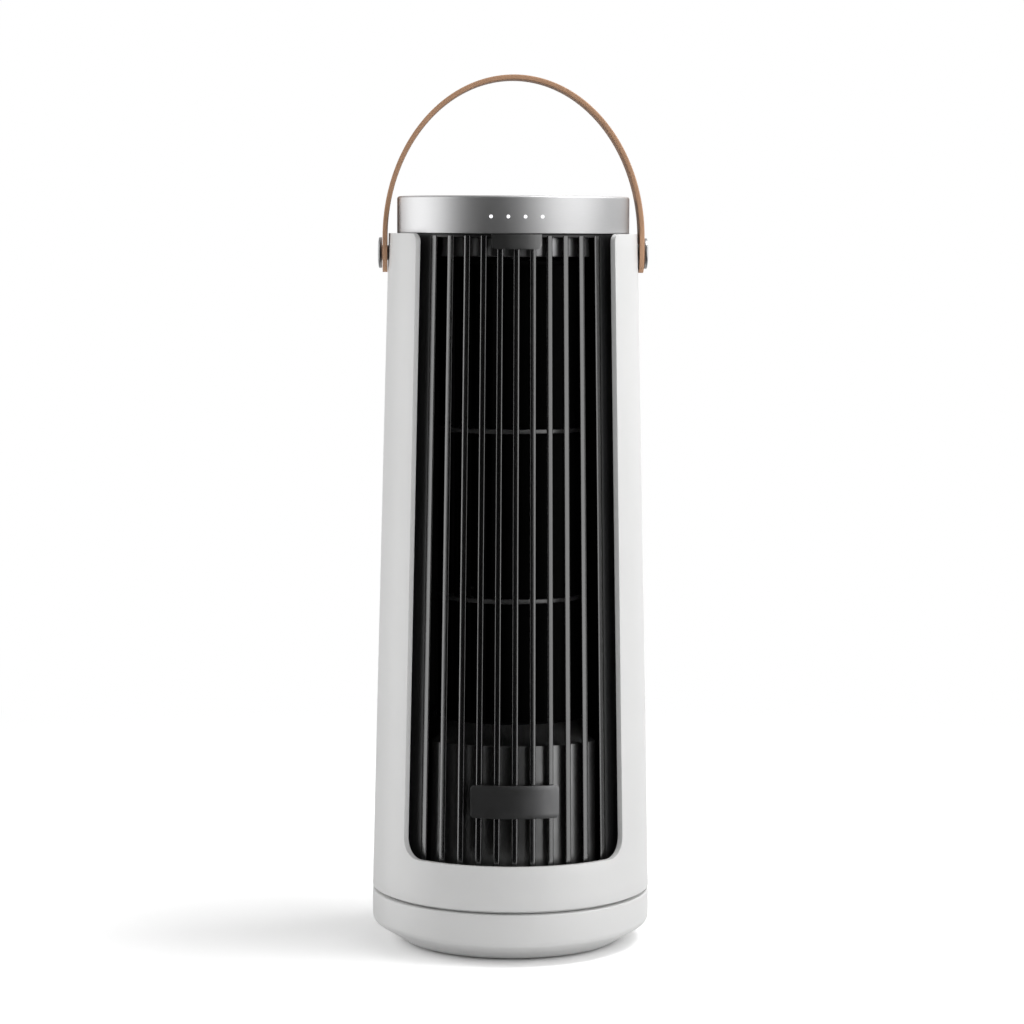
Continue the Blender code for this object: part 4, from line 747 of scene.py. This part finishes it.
# Fins: every fin is a section carried straight up, at an even step across. Its front lies on the grille's circle at
# each height, with edges that fall back as |x / w|^n + |y / d|^n = 1. The outermost fins are the deepest: the depth
# grows with a high power of the number from the middle.
def makeGrilleFins():
    g = grille
    half = g["finWidth"] / 2
    t = np.linspace(-np.pi / 2, np.pi / 2, 17)
    power = 2 / g["noseSquareness"]
    noseX = half * np.sign(np.sin(t)) * np.abs(np.sin(t)) ** power
    noseY = g["noseDepth"] * (1 - np.abs(np.cos(t)) ** power)
    narrow, ease = half * g["backShare"], -g["backEase"]
    sectionX = np.concatenate([[-narrow, -half], noseX, [half, narrow]])
    onNose = np.pad(np.ones(len(noseX)), 2)
    index = np.arange(-g["finsEachSide"], g["finsEachSide"] + 1)[:, None, None]
    depth = g["finDepth"] + (g["outerDepth"] - g["finDepth"]) * (index / g["finsEachSide"]) ** g["depthPower"]
    backY = np.array([0, ease] + [0] * len(noseX) + [ease, 0])
    sectionY = np.where(onNose > 0, np.pad(noseY, 2), depth + backY)
    height = np.linspace(g["finLow"], g["finHigh"], 24)[None, :, None]
    across = index * g["pitch"] * headRadius(height) / body["baseRadius"]
    front = -np.sqrt((grilleRadius(height) + g["finProud"]) ** 2 - (across + sectionX * onNose) ** 2)
    cloud = np.stack(np.broadcast_arrays(across + sectionX, front + sectionY, height), axis=-1)
    makePiece("grilleFins", barMesh("grilleFins", cloud), "fins", "head", smooth=50)


badge = {"width": 0.0394, "height": 0.0150, "centre": 0.0746, "thickness": 0.0012, "corner": 0.0017, "edge": 0.0003,
         "clip": 0.0020, "clipReach": 0.0034}


# Bare plate on the grille's curve, with two clips that go back between the fins
def makeBadge():
    b = badge
    low = b["centre"] - b["height"] / 2
    seat = plateSeat(low, b["thickness"])
    half = np.arcsin(b["width"] / 2 / (seat - b["thickness"]))
    angle, height = roundedPanel(half, low, low + b["height"], b["corner"] / seat, b["corner"], 36, 8)
    makeSheet("badgePlate", around(seat, angle, height), False, "plate", ["badge_plate"], b["thickness"], b["edge"])
    outline = eased(square * (b["clip"] / 2, b["clip"]), 0.0003, 3)
    clips = []
    for side in (-1, 1):
        x = side * grille["pitch"] * 1.5 * headRadius(b["centre"]) / body["baseRadius"]
        front = -np.sqrt((seat - b["thickness"] * 0.7) ** 2 - (abs(x) + b["clip"] / 2) ** 2)
        clips.append(barAlongY(outline + (x, b["centre"]), (front, front + b["clipReach"])))
    makePiece("badgeClips", together("badgeClips", clips), "black", "head")


sensor = {"width": 0.0225, "height": 0.0067, "top": 0.3307, "corner": 0.0023, "thickness": 0.0011, "edge": 0.00025}


# Dark tab under the cap, square above and rounded below
def makeSensorWindow():
    s = sensor
    low = s["top"] - s["height"]
    seat = plateSeat(low, s["thickness"])
    half = np.arcsin(s["width"] / 2 / seat)
    angle, height = roundedPanel(half, low, s["top"], s["corner"] / seat, s["corner"], 28, 6, roundTop=False)
    cloud = around(seat, angle, height)
    makeSheet("sensorWindow", cloud, False, "window", ["sensor_window"], s["thickness"], s["edge"])


makeGrilleFrame()
makeGrilleFins()
makeBadge()
makeSensorWindow()
print("front grille made")


# Rear grille

rearGrille = {"level": 0.182, "recess": 0.0005, "panel": 0.0024, "border": 0.0050, "innerCorner": 0.003,
              "edge": 0.0004, "bars": 27, "barWidth": 0.0016, "barDepth": 0.0018, "barSetback": 0.0002, "ties": 2,
              "tieHeight": 0.0024, "tieDepth": 0.0012}


# Frame ring on the shell's cone round the back, upright bars with rounded faces, and level ties behind them
def makeRearGrille():
    r = rearGrille
    fit = body["fit"]
    middle = headRadius(r["level"])
    outerHalf = radians(shell["rearHalfAngle"]) - fit / middle
    innerHalf = outerHalf - r["border"] / middle
    low, high = shell["rearLow"] + fit, shell["rearHigh"] - fit
    outerCorner, innerCorner = shell["rearCorner"] - fit, r["innerCorner"]
    outer = roundedLoop(outerHalf, low, high, outerCorner / middle, outerCorner, 48, 16)
    inner = roundedLoop(innerHalf, low + r["border"], high - r["border"], innerCorner / middle, innerCorner, 48, 16)
    makeFrame("rearFrame", inner, outer, r["recess"], np.pi, ["rear_grille"], r["panel"], r["edge"])

    outline = eased(np.array([(-1, 0), (1, 0), (1, 1), (-1, 1)]) * (r["barWidth"] / 2, r["barDepth"]), 0.0005, 4)
    angle = np.pi + innerHalf * (2 * np.arange(1, r["bars"] + 1) / (r["bars"] + 1) - 1)[:, None, None]
    height = np.array([low + r["border"] * 0.6, (low + high) / 2, high - r["border"] * 0.6])[None, :, None]
    reach = headRadius(height) - r["recess"] - r["barSetback"] - outline[:, 1]
    x = reach * np.sin(angle) + outline[:, 0] * np.cos(angle)
    y = -reach * np.cos(angle) + outline[:, 0] * np.sin(angle)
    cloud = np.stack(np.broadcast_arrays(x, y, height), axis=-1)
    makePiece("rearBars", barMesh("rearBars", cloud), "black", "head", smooth=50)

    turns = np.linspace(-innerHalf - 0.02, innerHalf + 0.02, 49)[:, None] + np.pi
    shape = eased(np.array([(0, -1), (1, -1), (1, 1), (0, 1)]) * (-r["tieDepth"], r["tieHeight"] / 2), 0.0004, 3)
    ties = []
    for number in range(1, r["ties"] + 1):
        level = low + r["border"] + (high - low - 2 * r["border"]) * number / (r["ties"] + 1)
        depth = headRadius(level) - r["recess"] - r["panel"] + r["barSetback"] + r["tieDepth"]
        ties.append(around(depth + shape[None, :, 0], turns, level + shape[None, :, 1]))
    makePiece("rearTies", barMesh("rearTies", ties), "black", "head", smooth=50)


makeRearGrille()
print("rear grille made")


# Air path

wheel = {
    "radius": 0.0350,
    "low": 0.1050,
    "high": 0.3190,
    "plate": 0.0020,
    "ringWidth": 0.0085,
    "rings": (0.2410, 0.1630),
    "hub": 0.0060,
    "hubHeight": 0.0080,
    "bore": 0.0028,
    "blades": 28,
    "tipGap": 0.0005,
    "chord": 0.0068,
    "thickness": 0.0008,
    "sweep": 16.0,
}


# Cross-flow wheel. Blades: a strip from radius R - c to R whose angle grows with the square of the way out,
# half a thickness to each side, carried straight up between the end plates.
def makeWheel():
    w = wheel
    plates, rings = [], []
    for face, inward in ((w["low"], 1), (w["high"], -1)):
        back, hubFace = face + inward * w["plate"], face + inward * w["hubHeight"]
        corners = [(w["bore"], face), (w["radius"], face), (w["radius"], back), (w["hub"], back), (w["hub"], hubFace),
                   (w["bore"], hubFace)]
        plates.append(turned("plate", corners, [0, 0.0003, 0.0003, 0.0004, 0.0003, 0], 2, sides=96))
    for level in w["rings"]:
        outline = square * (w["ringWidth"] / 2, w["plate"] / 2) + (w["radius"] - w["ringWidth"] / 2, level)
        rings.append(turned("ring", outline, 0.0004, 3, sides=96))
    share = np.linspace(0, 1, 9)
    radius = w["radius"] - w["tipGap"] - w["chord"] * (1 - share)
    lean = radians(w["sweep"]) * share ** 2
    half = w["thickness"] / 2 / radius
    sectionRadius = np.concatenate([radius, radius[::-1]])
    sectionAngle = np.concatenate([lean - half, (lean + half)[::-1]])
    start = (2 * np.pi * np.arange(w["blades"]) / w["blades"])[:, None, None]
    height = np.array([w["low"] + w["plate"] / 2, w["high"] - w["plate"] / 2])[None, :, None]
    blades = barMesh("blades", around(sectionRadius, sectionAngle + start, height))
    # Plates and blades take the inner plastic's painted shade, and the rings its lighter, glossier copy as painted
    # light
    makePiece("impellerWheel", together("impellerWheel", [*plates, blades]), "inside", "impeller", ["impeller_wheel"])
    makePiece("impellerRings", together("impellerRings", rings), "rings", "impeller")


# A profile of (radius, height) spun once round Z, whose front reaches further out than its sides and back.
# Outside the rim its reach is scaled by side + (1 - side) k, where k falls from 1 to 0 between two angles
# as 3 s^2 - 2 s^3.
def frontedTurn(name, profile, rim, form):
    angle = np.linspace(0, 2 * np.pi, 240, endpoint=False)[None, :]
    away = np.degrees(np.minimum(angle, 2 * np.pi - angle))
    share = np.clip((form["sideAngle"] - away) / (form["sideAngle"] - form["frontAngle"]), 0, 1)
    scale = form["side"] + (1 - form["side"]) * (3 * share ** 2 - 2 * share ** 3)
    reach = profile[:, :1]
    reach = np.where(reach > rim, rim + (reach - rim) * scale, reach)
    return tidyMesh(gridMesh(name, [(around(reach, angle, profile[:, 1:]), True, True)]))


motorCover = {"gap": 0.0042, "low": 0.0288, "shoulder": 0.0992, "rim": 0.0366, "rimTop": 0.1064, "well": 0.0356,
              "wellFloor": 0.1041, "mouth": 0.0045, "wall": 0.0020, "inner": 0.0340, "frontAngle": 44.0,
              "sideAngle": 58.0, "side": 0.16}


# Cover over the motors: a front that follows the grille just behind the fins, a round back, a sloping shoulder,
# and a shallow well that the wheel's lower plate turns in
def makeMotorCover():
    m = motorCover
    front = [(grilleRadius(level) - m["gap"], level) for level in (m["low"], m["shoulder"])]
    under = m["wellFloor"] - m["wall"]
    corners = [*front, (m["rim"], m["rimTop"]), (m["well"], m["rimTop"]), (m["well"], m["wellFloor"]),
               (m["mouth"], m["wellFloor"]), (m["mouth"], under), (m["inner"], under), (m["inner"], m["low"])]
    profile = eased(corners, [0.0003, 0.0007, 0.0006, 0.0002, 0.0003, 0.0002, 0, 0.0005, 0.0003], 6)
    mesh = frontedTurn("motorCover", profile, m["rim"], m)
    makePiece("motorCover", mesh, "housing", "head", ["motor_housing"])


bearingCup = {"gap": 0.0042, "inner": 0.0330, "wall": 0.0020, "low": 0.3205, "top": 0.3306, "boss": 0.0092,
              "seat": 0.0067, "bushTop": 0.3275, "frontAngle": 44.0, "sideAngle": 56.0, "side": 0.13}


# Cup under the deck that carries the wheel's upper bush, with a front close behind the fins like the cover's
def makeBearingCup():
    c = bearingCup
    front = [(grilleRadius(level) - c["gap"], level) for level in (c["low"], c["top"])]
    floor = c["low"] + c["wall"]
    corners = [(c["seat"], c["low"]), *front, (c["inner"], c["top"]), (c["inner"], floor), (c["boss"], floor),
               (c["boss"], c["bushTop"]), (c["seat"], c["bushTop"])]
    profile = eased(corners, [0.0002, 0.0006, 0.0002, 0, 0, 0, 0, 0], 4)
    mesh = frontedTurn("bearingCup", profile, c["inner"], c)
    makePiece("bearingCup", mesh, "cup", "head", ["upper_bearing_cup"])


stabiliser = {"far": 0.0484, "near": 0.0362, "nearCover": 0.0412, "wall": 0.0018, "start": 62.0, "lip": 69.0,
              "leave": 88.0, "end": 104.0, "low": 0.0288, "coverTop": 0.1000, "wheelLow": 0.1072, "high": 0.3307}


# Upright air guide: from the grille in to a lip close to the blades, along them, and out to the collar again.
# Its distance from the axis follows 1 - cos on the way in and the square of the way on the way out, and it keeps
# a wider distance down where it passes the motor cover.
def makeStabiliser():
    s = stabiliser
    share = np.linspace(0, 1, 13)
    near = np.array([s["nearCover"], s["nearCover"], s["near"], s["near"]])[:, None]
    drop = s["far"] - near
    angle = np.concatenate([s["start"] + (s["lip"] - s["start"]) * share,
                            s["lip"] + (s["leave"] - s["lip"]) * share[1:],
                            s["leave"] + (s["end"] - s["leave"]) * share[1:]])
    radius = np.concatenate([s["far"] - drop * (1 - np.cos(share * np.pi)) / 2, near + 0 * share[None, 1:],
                             near + drop * share[1:] ** 2], axis=1)
    half = s["wall"] / 2
    section = np.concatenate([radius - half, (radius + half)[:, ::-1]], axis=1)
    turn = radians(1) * np.concatenate([angle, angle[::-1]])
    cloud = around(section, turn, np.array([s["low"], s["coverTop"], s["wheelLow"], s["high"]])[:, None])
    makePiece("airStabiliser", barMesh("stabiliser", [cloud]), "inside", "head", ["stabiliser"])


makeWheel()
makeMotorCover()
makeStabiliser()
makeBearingCup()
print("air path made")


# Cap and controls

cap = {"radius": 0.0538, "wall": 0.0015, "low": 0.3310, "high": 0.3480, "edge": 0.0012, "ledHole": 0.00082}
leds = {"count": 4, "pitch": 0.0077, "radius": 0.00070, "height": 0.3386, "sink": 0.0002, "span": 0.01455,
        "depth": 0.0080, "thickness": 0.0018, "barFront": 0.0497}


def ledPlaces():
    return leds["pitch"] * (np.arange(leds["count"]) - (leds["count"] - 1) / 2)


# Aluminium band with eased edges and four holes for the lights
def makeCapRing():
    c = cap
    inner = c["radius"] - c["wall"]
    corners = [(inner, c["low"]), (c["radius"], c["low"]), (c["radius"], c["high"]), (inner, c["high"])]
    mesh = turned("capRing", corners, [0.0002, 0.0004, c["edge"], 0.0003], 5, sides=360)
    holes = [shifted(drill(c["ledHole"], -0.004, 0.004, 24), (x, -c["radius"], leds["height"]), radians(90), "X")
             for x in ledPlaces()]
    makePiece("capRing", carve(mesh, holes), "aluminium", "head", ["cap_ring"])


# Clear bar behind the band, with a domed stub in each hole
def makeLightGuide():
    d = leds
    parts = []
    for x in ledPlaces():
        tip = np.sqrt(cap["radius"] ** 2 - x * x) - d["sink"]
        start = d["barFront"] - 0.001
        corners = [(0, start), (d["radius"], start), (d["radius"], tip - 0.0001), (d["radius"] * 0.7, tip),
                   (0, tip + 0.00005)]
        stub = turned("stub", corners, [0, 0, 0.0001, 0.0002, 0], 3, False, 24)
        parts.append(shifted(stub, (x, 0, d["height"]), radians(90), "X"))
    outline = eased(square * (d["span"], d["thickness"] / 2), 0.0003, 3) + (0, d["height"])
    parts.append(barAlongY(outline, (-d["barFront"], -d["barFront"] + d["depth"])))
    makePiece("ledLightGuide", together("ledLightGuide", parts), "light", "head", ["led_light_guide"])


panel = {"radius": 0.0520, "low": 0.3450, "high": 0.3474, "skirt": 0.0505, "skirtLow": 0.3336, "skirtAngle": 148,
         "edge": 0.0005, "chamfer": 0.0003, "keyHole": 0.0064}
keys = {"pitch": 0.0180, "row": 0.0220, "radius": 0.0060, "top": 0.3478, "dish": 0.0004, "edge": 0.0004,
        "flange": 0.0072, "flangeTop": 0.3447, "flangeLow": 0.3436, "stem": 0.0020, "stemEnd": 0.3423,
        "dishDrop": 0.00006, "names": ("power_button", "speed_button", "oscillation_button"),
        "markHeight": 0.00006, "markWidth": 0.00042, "markFoot": 0.0003, "markCover": 0.0001}


def keyPlaces(height=0.0):
    return [((number - 1) * keys["pitch"], -keys["row"], height) for number in range(3)]


# Panel with an eased rim, three holes for the keys and a short skirt down to the deck
def makeTopPanel():
    p = panel
    inside = p["radius"] - p["chamfer"]
    corners = [(0, p["low"]), (p["skirt"], p["low"]), (inside, p["low"]), (p["radius"], p["low"] + p["chamfer"]),
               (p["radius"], p["high"]), (0, p["high"])]
    mesh = turned("topPanel", corners, [0, 0, 0, 0, p["edge"], 0], 4, False, 200)
    holes = [shifted(drill(p["keyHole"], -0.01, 0.01, 64), place) for place in keyPlaces(p["high"])]
    mesh = carve(mesh, holes)
    radius = np.array([p["skirt"], inside, inside, p["skirt"]])
    height = np.repeat([p["skirtLow"], p["low"] + 0.001], 2)
    angle = np.linspace(np.pi - radians(p["skirtAngle"]), np.pi + radians(p["skirtAngle"]), 97)[:, None]
    skirt = barMesh("skirt", [around(radius, angle, height)])
    makePiece("topPanel", together("topPanel", [mesh, skirt]), "black", "head", ["top_panel"], smooth=10)


# Line marks as thin ribbons: a path of points in the key's plane, half a width to each side, raised a little
def ribbon(path, width, low, high):
    path = np.asarray(path, float)
    ahead = np.roll(path, -1, axis=0) - np.roll(path, 1, axis=0)
    ahead[0], ahead[-1] = path[1] - path[0], path[-1] - path[-2]
    normal = np.stack([-ahead[:, 1], ahead[:, 0]], axis=1) / np.linalg.norm(ahead, axis=1)[:, None] * width / 2
    sides = ((path + normal, low), (path + normal, high), (path - normal, high), (path - normal, low))
    return barMesh("ribbon", [np.stack([np.c_[side, np.full(len(path), level)] for side, level in sides], axis=1)])


def arcPath(radius, start, end, steps, centre=(0, 0)):
    t = np.linspace(radians(start), radians(end), steps)
    return np.stack([centre[0] + radius * np.cos(t), centre[1] + radius * np.sin(t)], axis=1)


# Round keys with a shallow dish, each with a plain printed mark: power, three speed bars, a swing arrow
def makeKeys():
    k = keys
    corners = [(0, k["top"] - k["dish"]), (k["radius"] - k["edge"] * 2, k["top"] - k["dishDrop"]),
               (k["radius"], k["top"]),
               (k["radius"], k["flangeTop"]), (k["flange"], k["flangeTop"]), (k["flange"], k["flangeLow"]),
               (k["stem"], k["flangeLow"]), (k["stem"], k["stemEnd"]), (0, k["stemEnd"])]
    radii = [0, 0.0006, k["edge"], 0, 0.0002, 0.0002, 0, 0.0002, 0]
    level = k["top"] - k["dish"] * 0.95
    low, high = level - k["markFoot"], level + k["markHeight"] + k["markCover"]
    arrowHeads = [[(side * 0.00095, 0.0011), (side * 0.0021, -0.0001), (side * 0.0007, -0.0006)] for side in (-1, 1)]
    speedBars = [[(x, -0.0014), (x, -0.0014 + tall)] for x, tall in ((-0.0015, 0.0012), (0, 0.0021), (0.0015, 0.0030))]
    marks = [
        [arcPath(0.0019, 125, 415, 40), [(0, 0.0006), (0, 0.0026)]],
        speedBars,
        [arcPath(0.0034, 55, 125, 20, (0, -0.0029)), *arrowHeads],
    ]
    for name, place, lines in zip(k["names"], keyPlaces(), marks):
        label = name.split("_")[0]
        mesh = shifted(turned(name, corners, radii, 5, False, 72), place)
        makePiece(label + "Key", mesh, "black", name + "_body", [name])
        strokes = together("strokes", [ribbon(path, k["markWidth"], low, high) for path in lines])
        makePiece(label + "Mark", shifted(strokes, place), "mark", name + "_body")


makeCapRing()
makeLightGuide()
makeTopPanel()
makeKeys()
print("cap and controls made")


# Handle

strap = {
    "face": 0.0583,
    "thickness": 0.0022,
    "width": 0.0180,
    "straight": 0.0071,
    "arch": 0.0747,
    "ease": 0.0005,
    "bore": 0.0048,
    "seat": 0.0068,
    "seatDepth": 0.0009,
    "rim": (0.0009, 0.0008),  # where the cut edge's colour starts from the edge, and over how far it comes in
}


# Where a round piece of one side goes, and how it turns from upright to face outwards
def sidePlace(side):
    return (0, 0, body["pivot"]), side * radians(90), "Y"


# The strap's middle line: up from the round end below one rivet, over half an ellipse, down to the other.
# Its section is a flat rounded rectangle, half as wide as sqrt(r^2 - d^2) in the round ends. Each corner of the
# section falls away across as 1 - cos and outward as 1 - sin.
def makeStrap():
    s = strap
    half, thick = s["width"] / 2, s["thickness"] / 2
    middle, rise = s["face"] + thick, s["arch"] - thick
    endTurn = np.linspace(radians(86), 0, 15)
    legHeight = np.append(body["pivot"] - half * np.sin(endTurn), body["pivot"] + s["straight"] / 2)
    legWidth = np.append(half * np.cos(endTurn), half)
    legs = np.ones(len(legHeight))
    arc = np.linspace(0, np.pi, 97)
    pathX = np.concatenate([-middle * legs, -middle * np.cos(arc), middle * legs])
    pathZ = np.concatenate([legHeight, body["pivot"] + s["straight"] + rise * np.sin(arc), legHeight[::-1]])
    wide = np.concatenate([legWidth, np.full(len(arc), half), legWidth[::-1]])[:, None]
    outX = np.concatenate([-legs, -np.cos(arc) / middle, legs])
    outZ = np.concatenate([0 * legs, np.sin(arc) / rise, 0 * legs])
    length = np.hypot(outX, outZ)
    outX, outZ = outX / length, outZ / length
    ease = np.minimum(s["ease"], wide / 3)
    corner = np.linspace(0, np.pi / 2, 5)
    fallAcross = np.concatenate([1 - np.cos(corner), 1 - np.cos(corner[::-1])] * 2)
    fallOut = np.concatenate([1 - np.sin(corner), 1 - np.sin(corner[::-1])] * 2)
    y = np.repeat([-1, 1, 1, -1], 5) * (wide - fallAcross * ease)
    out = np.repeat([-1, -1, 1, 1], 5) * (thick - fallOut * ease)
    cloud = np.stack([pathX[:, None] + outX[:, None] * out, y, pathZ[:, None] + outZ[:, None] * out], axis=-1)
    mesh = barMesh("handleStrap", [cloud])
    floor = s["face"] + s["thickness"] - s["seatDepth"]
    steps = [(0, 0.05), (s["bore"], 0.05), (s["bore"], floor), (s["seat"], floor), (s["seat"], 0.07), (0, 0.07)]
    mesh = carve(mesh, [shifted(turned("bore", steps, ring=False, sides=64), *sidePlace(side)) for side in (-1, 1)])
    # Edge attribute: how far a point is from the strap's middle line, 1 on the cut edge
    points = np.empty(len(mesh.vertices) * 3)
    mesh.vertices.foreach_get("co", points)
    points = points.reshape(-1, 3)
    reach = np.hypot(points[:, 1], np.clip(body["pivot"] - points[:, 2], 0, None))
    edge = mesh.attributes.new("edge", "FLOAT", "POINT")
    edge.data.foreach_set("value", np.clip((reach - (half - s["rim"][0])) / s["rim"][1], 0, 1))
    makePiece("handleStrap", mesh, "leather", "handle", ["handle_strap"], smooth=50)


eyelet = {"bore": 0.0038, "tube": 0.0045, "flange": 0.0065, "flangeThickness": 0.0006}
rivet = {"stem": 0.0034, "stemEnd": 0.0500, "radius": 0.0071, "seat": 0.0608, "head": 0.0019, "dome": 0.0005}


# Rolled eyelets in the strap, and the rivet caps they turn on: flat cap, eased rim and a slight dome
def makeStrapHardware():
    e, r = eyelet, rivet
    inner, outer = strap["face"], strap["face"] + strap["thickness"]
    under, top = outer - e["flangeThickness"], r["seat"] + r["head"]
    eyeletCorners = [(e["bore"], inner), (e["tube"], inner), (e["tube"], under), (e["flange"], under),
                     (e["flange"], outer), (e["bore"], outer)]
    eyeletRadii = [0.0001, 0.0001, 0.0001, 0.0002, 0.0003, 0.0003]
    corners = [(0, r["stemEnd"]), (r["stem"], r["stemEnd"]), (r["stem"], r["seat"]), (r["radius"], r["seat"]),
               (r["radius"], top - r["dome"]), (r["radius"] * 0.6, top - 0.0001), (0, top)]
    radii = [0, 0.0003, 0, 0.0002, 0.0005, 0.0015, 0]
    for side, name in ((-1, "left"), (1, "right")):
        mesh = shifted(turned("strapEyelet", eyeletCorners, eyeletRadii, 3, sides=64), *sidePlace(side))
        makePiece(f"strapEyelet.{name}", mesh, "rivet", "handle", [f"strap_eyelet_{name}"])
        mesh = shifted(turned("strapRivet", corners, radii, 5, False, 96), *sidePlace(side))
        makePiece(f"strapRivet.{name}", mesh, "rivet", "head", [f"strap_rivet_{name}"])


makeStrap()
makeStrapHardware()
print("handle made")


# CAD nodes that stay, each with the finish of its material slot
kept = {
    "inside": ["scroll_wall", "top_frame", "swivel_post", "oscillation_motor"],
    "natural": ["fixed_gear", "thrust_ring", "swivel_bush", "oscillation_pinion"],
    "steel": ["ballast_weight", "retaining_washer", "circlip", "drive_motor", "motor_shaft", "stub_shaft"],
    "rubber": ["upper_bush"],
    "board": ["control_board"],
}
for finishName, names in kept.items():
    for nodeName in names:
        for place in nodes[nodeName].material_slots:
            place.material = finishes[finishName]
print("CAD nodes dressed:", sum(len(names) for names in kept.values()))


# Studio

studio = {
    "cameraDistance": 1.421,
    "cameraHeight": 0.331,
    "cameraAzimuth": -1.8,
    "cameraTilt": 5.217,
    "cameraRoll": 0.24,
    "lens": 107.2,
    "lampTarget": (0, 0, 0.18),
    "ambient": 0.27,
    "darkest": -24,  # azimuth of the dark end of the room
    # Level of the room's gloss, from the dark end round to opposite it
    "gloss": ((0.0, 0.0), (0.10, 0.01), (0.30, 0.06), (0.55, 0.22), (0.75, 0.36), (0.93, 0.50), (0.99, 1.0)),
    "floorTone": 0.8,
    "floorGain": 1.44,
    "floorWhite": (0.34, 0.75),
    "floorRings": (0.0, 0.1, 0.4, 1.0, 3.0, 12.0),
}
lamps = {
    "right": {"azimuth": 52, "elevation": 12, "distance": 1.10, "size": (1.2, 1.3), "power": 6.9},
    "left": {"azimuth": -97, "elevation": 10, "distance": 1.10, "size": (1.2, 1.4), "power": 8.6},
    "top": {"azimuth": 92, "elevation": 64, "distance": 1.10, "size": (0.55, 0.55), "power": 7.5},
}


def makeCamera():
    s = studio
    data = bpy.data.cameras.new("camera")
    data.lens = s["lens"]
    data.sensor_width = 36
    data.clip_start, data.clip_end = 0.05, 100
    camera = addObject("camera", data)
    azimuth = radians(s["cameraAzimuth"])
    camera.location = around(s["cameraDistance"], azimuth, s["cameraHeight"])
    turns = ((azimuth, "Z"), (radians(90 - s["cameraTilt"]), "X"), (radians(s["cameraRoll"]), "Z"))
    first, second, third = [Matrix.Rotation(turn, 3, axis) for turn, axis in turns]
    camera.rotation_euler = (first @ second @ third).to_euler()
    bpy.context.scene.camera = camera


# Soft boxes round the fan, each turned to its middle
def makeLamps():
    for name, lamp in lamps.items():
        data = bpy.data.lights.new(name + " soft box", "AREA")
        data.shape = "RECTANGLE"
        data.size, data.size_y = lamp["size"]
        data.energy = lamp["power"]
        light = addObject(name + " soft box", data)
        azimuth, elevation = radians(lamp["azimuth"]), radians(lamp["elevation"])
        away = Vector(around(np.cos(elevation), azimuth, np.sin(elevation)))
        light.location = Vector(studio["lampTarget"]) + away * lamp["distance"]
        light.rotation_euler = away.to_track_quat("Z", "Y").to_euler()


# World: white to the camera and through glass. Gloss sees the same white behind the fan, and a room that darkens
# towards one direction in front of it, by (1 - cos of the angle away from there) / 2. The rest gets a low even fill.
def makeWorld():
    world = bpy.data.worlds.new("studio")
    world.use_nodes = True
    bpy.context.scene.world = world
    tree = world.node_tree
    rays = addNode(tree, "LightPath").outputs
    place = addNode(tree, "TexCoord").outputs["Generated"]
    dark = radians(studio["darkest"])
    along = addNode(tree, "VectorMath", {0: place, 1: (-np.sin(dark), np.cos(dark), 0)}, operation="DOT_PRODUCT")
    ramp = addNode(tree, "ValToRGB", {"Fac": calculate(tree, "MULTIPLY_ADD", along.outputs["Value"], 0.5, 0.5)})
    stops = ramp.color_ramp.elements
    for position, level in studio["gloss"][1:-1]:
        stops.new(position)
    for stop, (position, level) in zip(stops, studio["gloss"]):
        stop.position = position
        stop.color = (*grey(level), 1)
    gloss = mixLevels(tree, rays["Is Glossy Ray"], studio["ambient"], ramp.outputs["Color"])
    seen = calculate(tree, "MAXIMUM", rays["Is Camera Ray"], rays["Is Transmission Ray"])
    level = mixLevels(tree, seen, gloss, 1.0)
    fill(tree, tree.nodes["Background"], {"Color": (1, 1, 1, 1), "Strength": level})


# Floor: pale and matt, bright enough to the camera that only the shadow stays, and plain white further out.
# Reflections look through it to the studio round the fan, as on a small table.
def makeFloor():
    s = studio
    finish, tree, shader = nodeTree("floor")
    tree.nodes.remove(shader)
    rays = addNode(tree, "LightPath").outputs
    tones = [(*grey(s[name]), 1) for name in ("floorTone", "floorGain")]
    matt = addNode(tree, "BsdfDiffuse", {"Color": mixColours(tree, rays["Is Camera Ray"], *tones, clamp_factor=False)})
    far = addNode(tree, "VectorMath", {0: objectPlace(tree)}, operation="LENGTH").outputs["Value"]
    inputs = {"Value": far, "From Min": s["floorWhite"][0], "From Max": s["floorWhite"][1]}
    away = addNode(tree, "MapRange", inputs, interpolation_type="SMOOTHSTEP").outputs["Result"]
    seen = calculate(tree, "MULTIPLY", away, rays["Is Camera Ray"])
    white = addNode(tree, "Emission").outputs["Emission"]
    clear = addNode(tree, "BsdfTransparent").outputs["BSDF"]
    direct = addNode(tree, "MixShader", {"Fac": seen, 1: matt.outputs["BSDF"], 2: white}).outputs["Shader"]
    surface = addNode(tree, "MixShader", {"Fac": rays["Is Glossy Ray"], 1: direct, 2: clear}).outputs["Shader"]
    fill(tree, tree.nodes["Material Output"], {"Surface": surface})
    turn = np.linspace(0, 2 * np.pi, 96, endpoint=False)[None, ::-1]
    cloud = around(np.array(s["floorRings"])[:, None], turn, 0.0)
    mesh = tidyMesh(gridMesh("floor", [(cloud, False, True)]), outward=False)
    mesh.materials.append(finish)
    floor = addObject("floor", mesh)


makeCamera()
makeLamps()
makeWorld()
makeFloor()
bpy.context.scene.view_settings.view_transform = "Standard"
print("studio made")
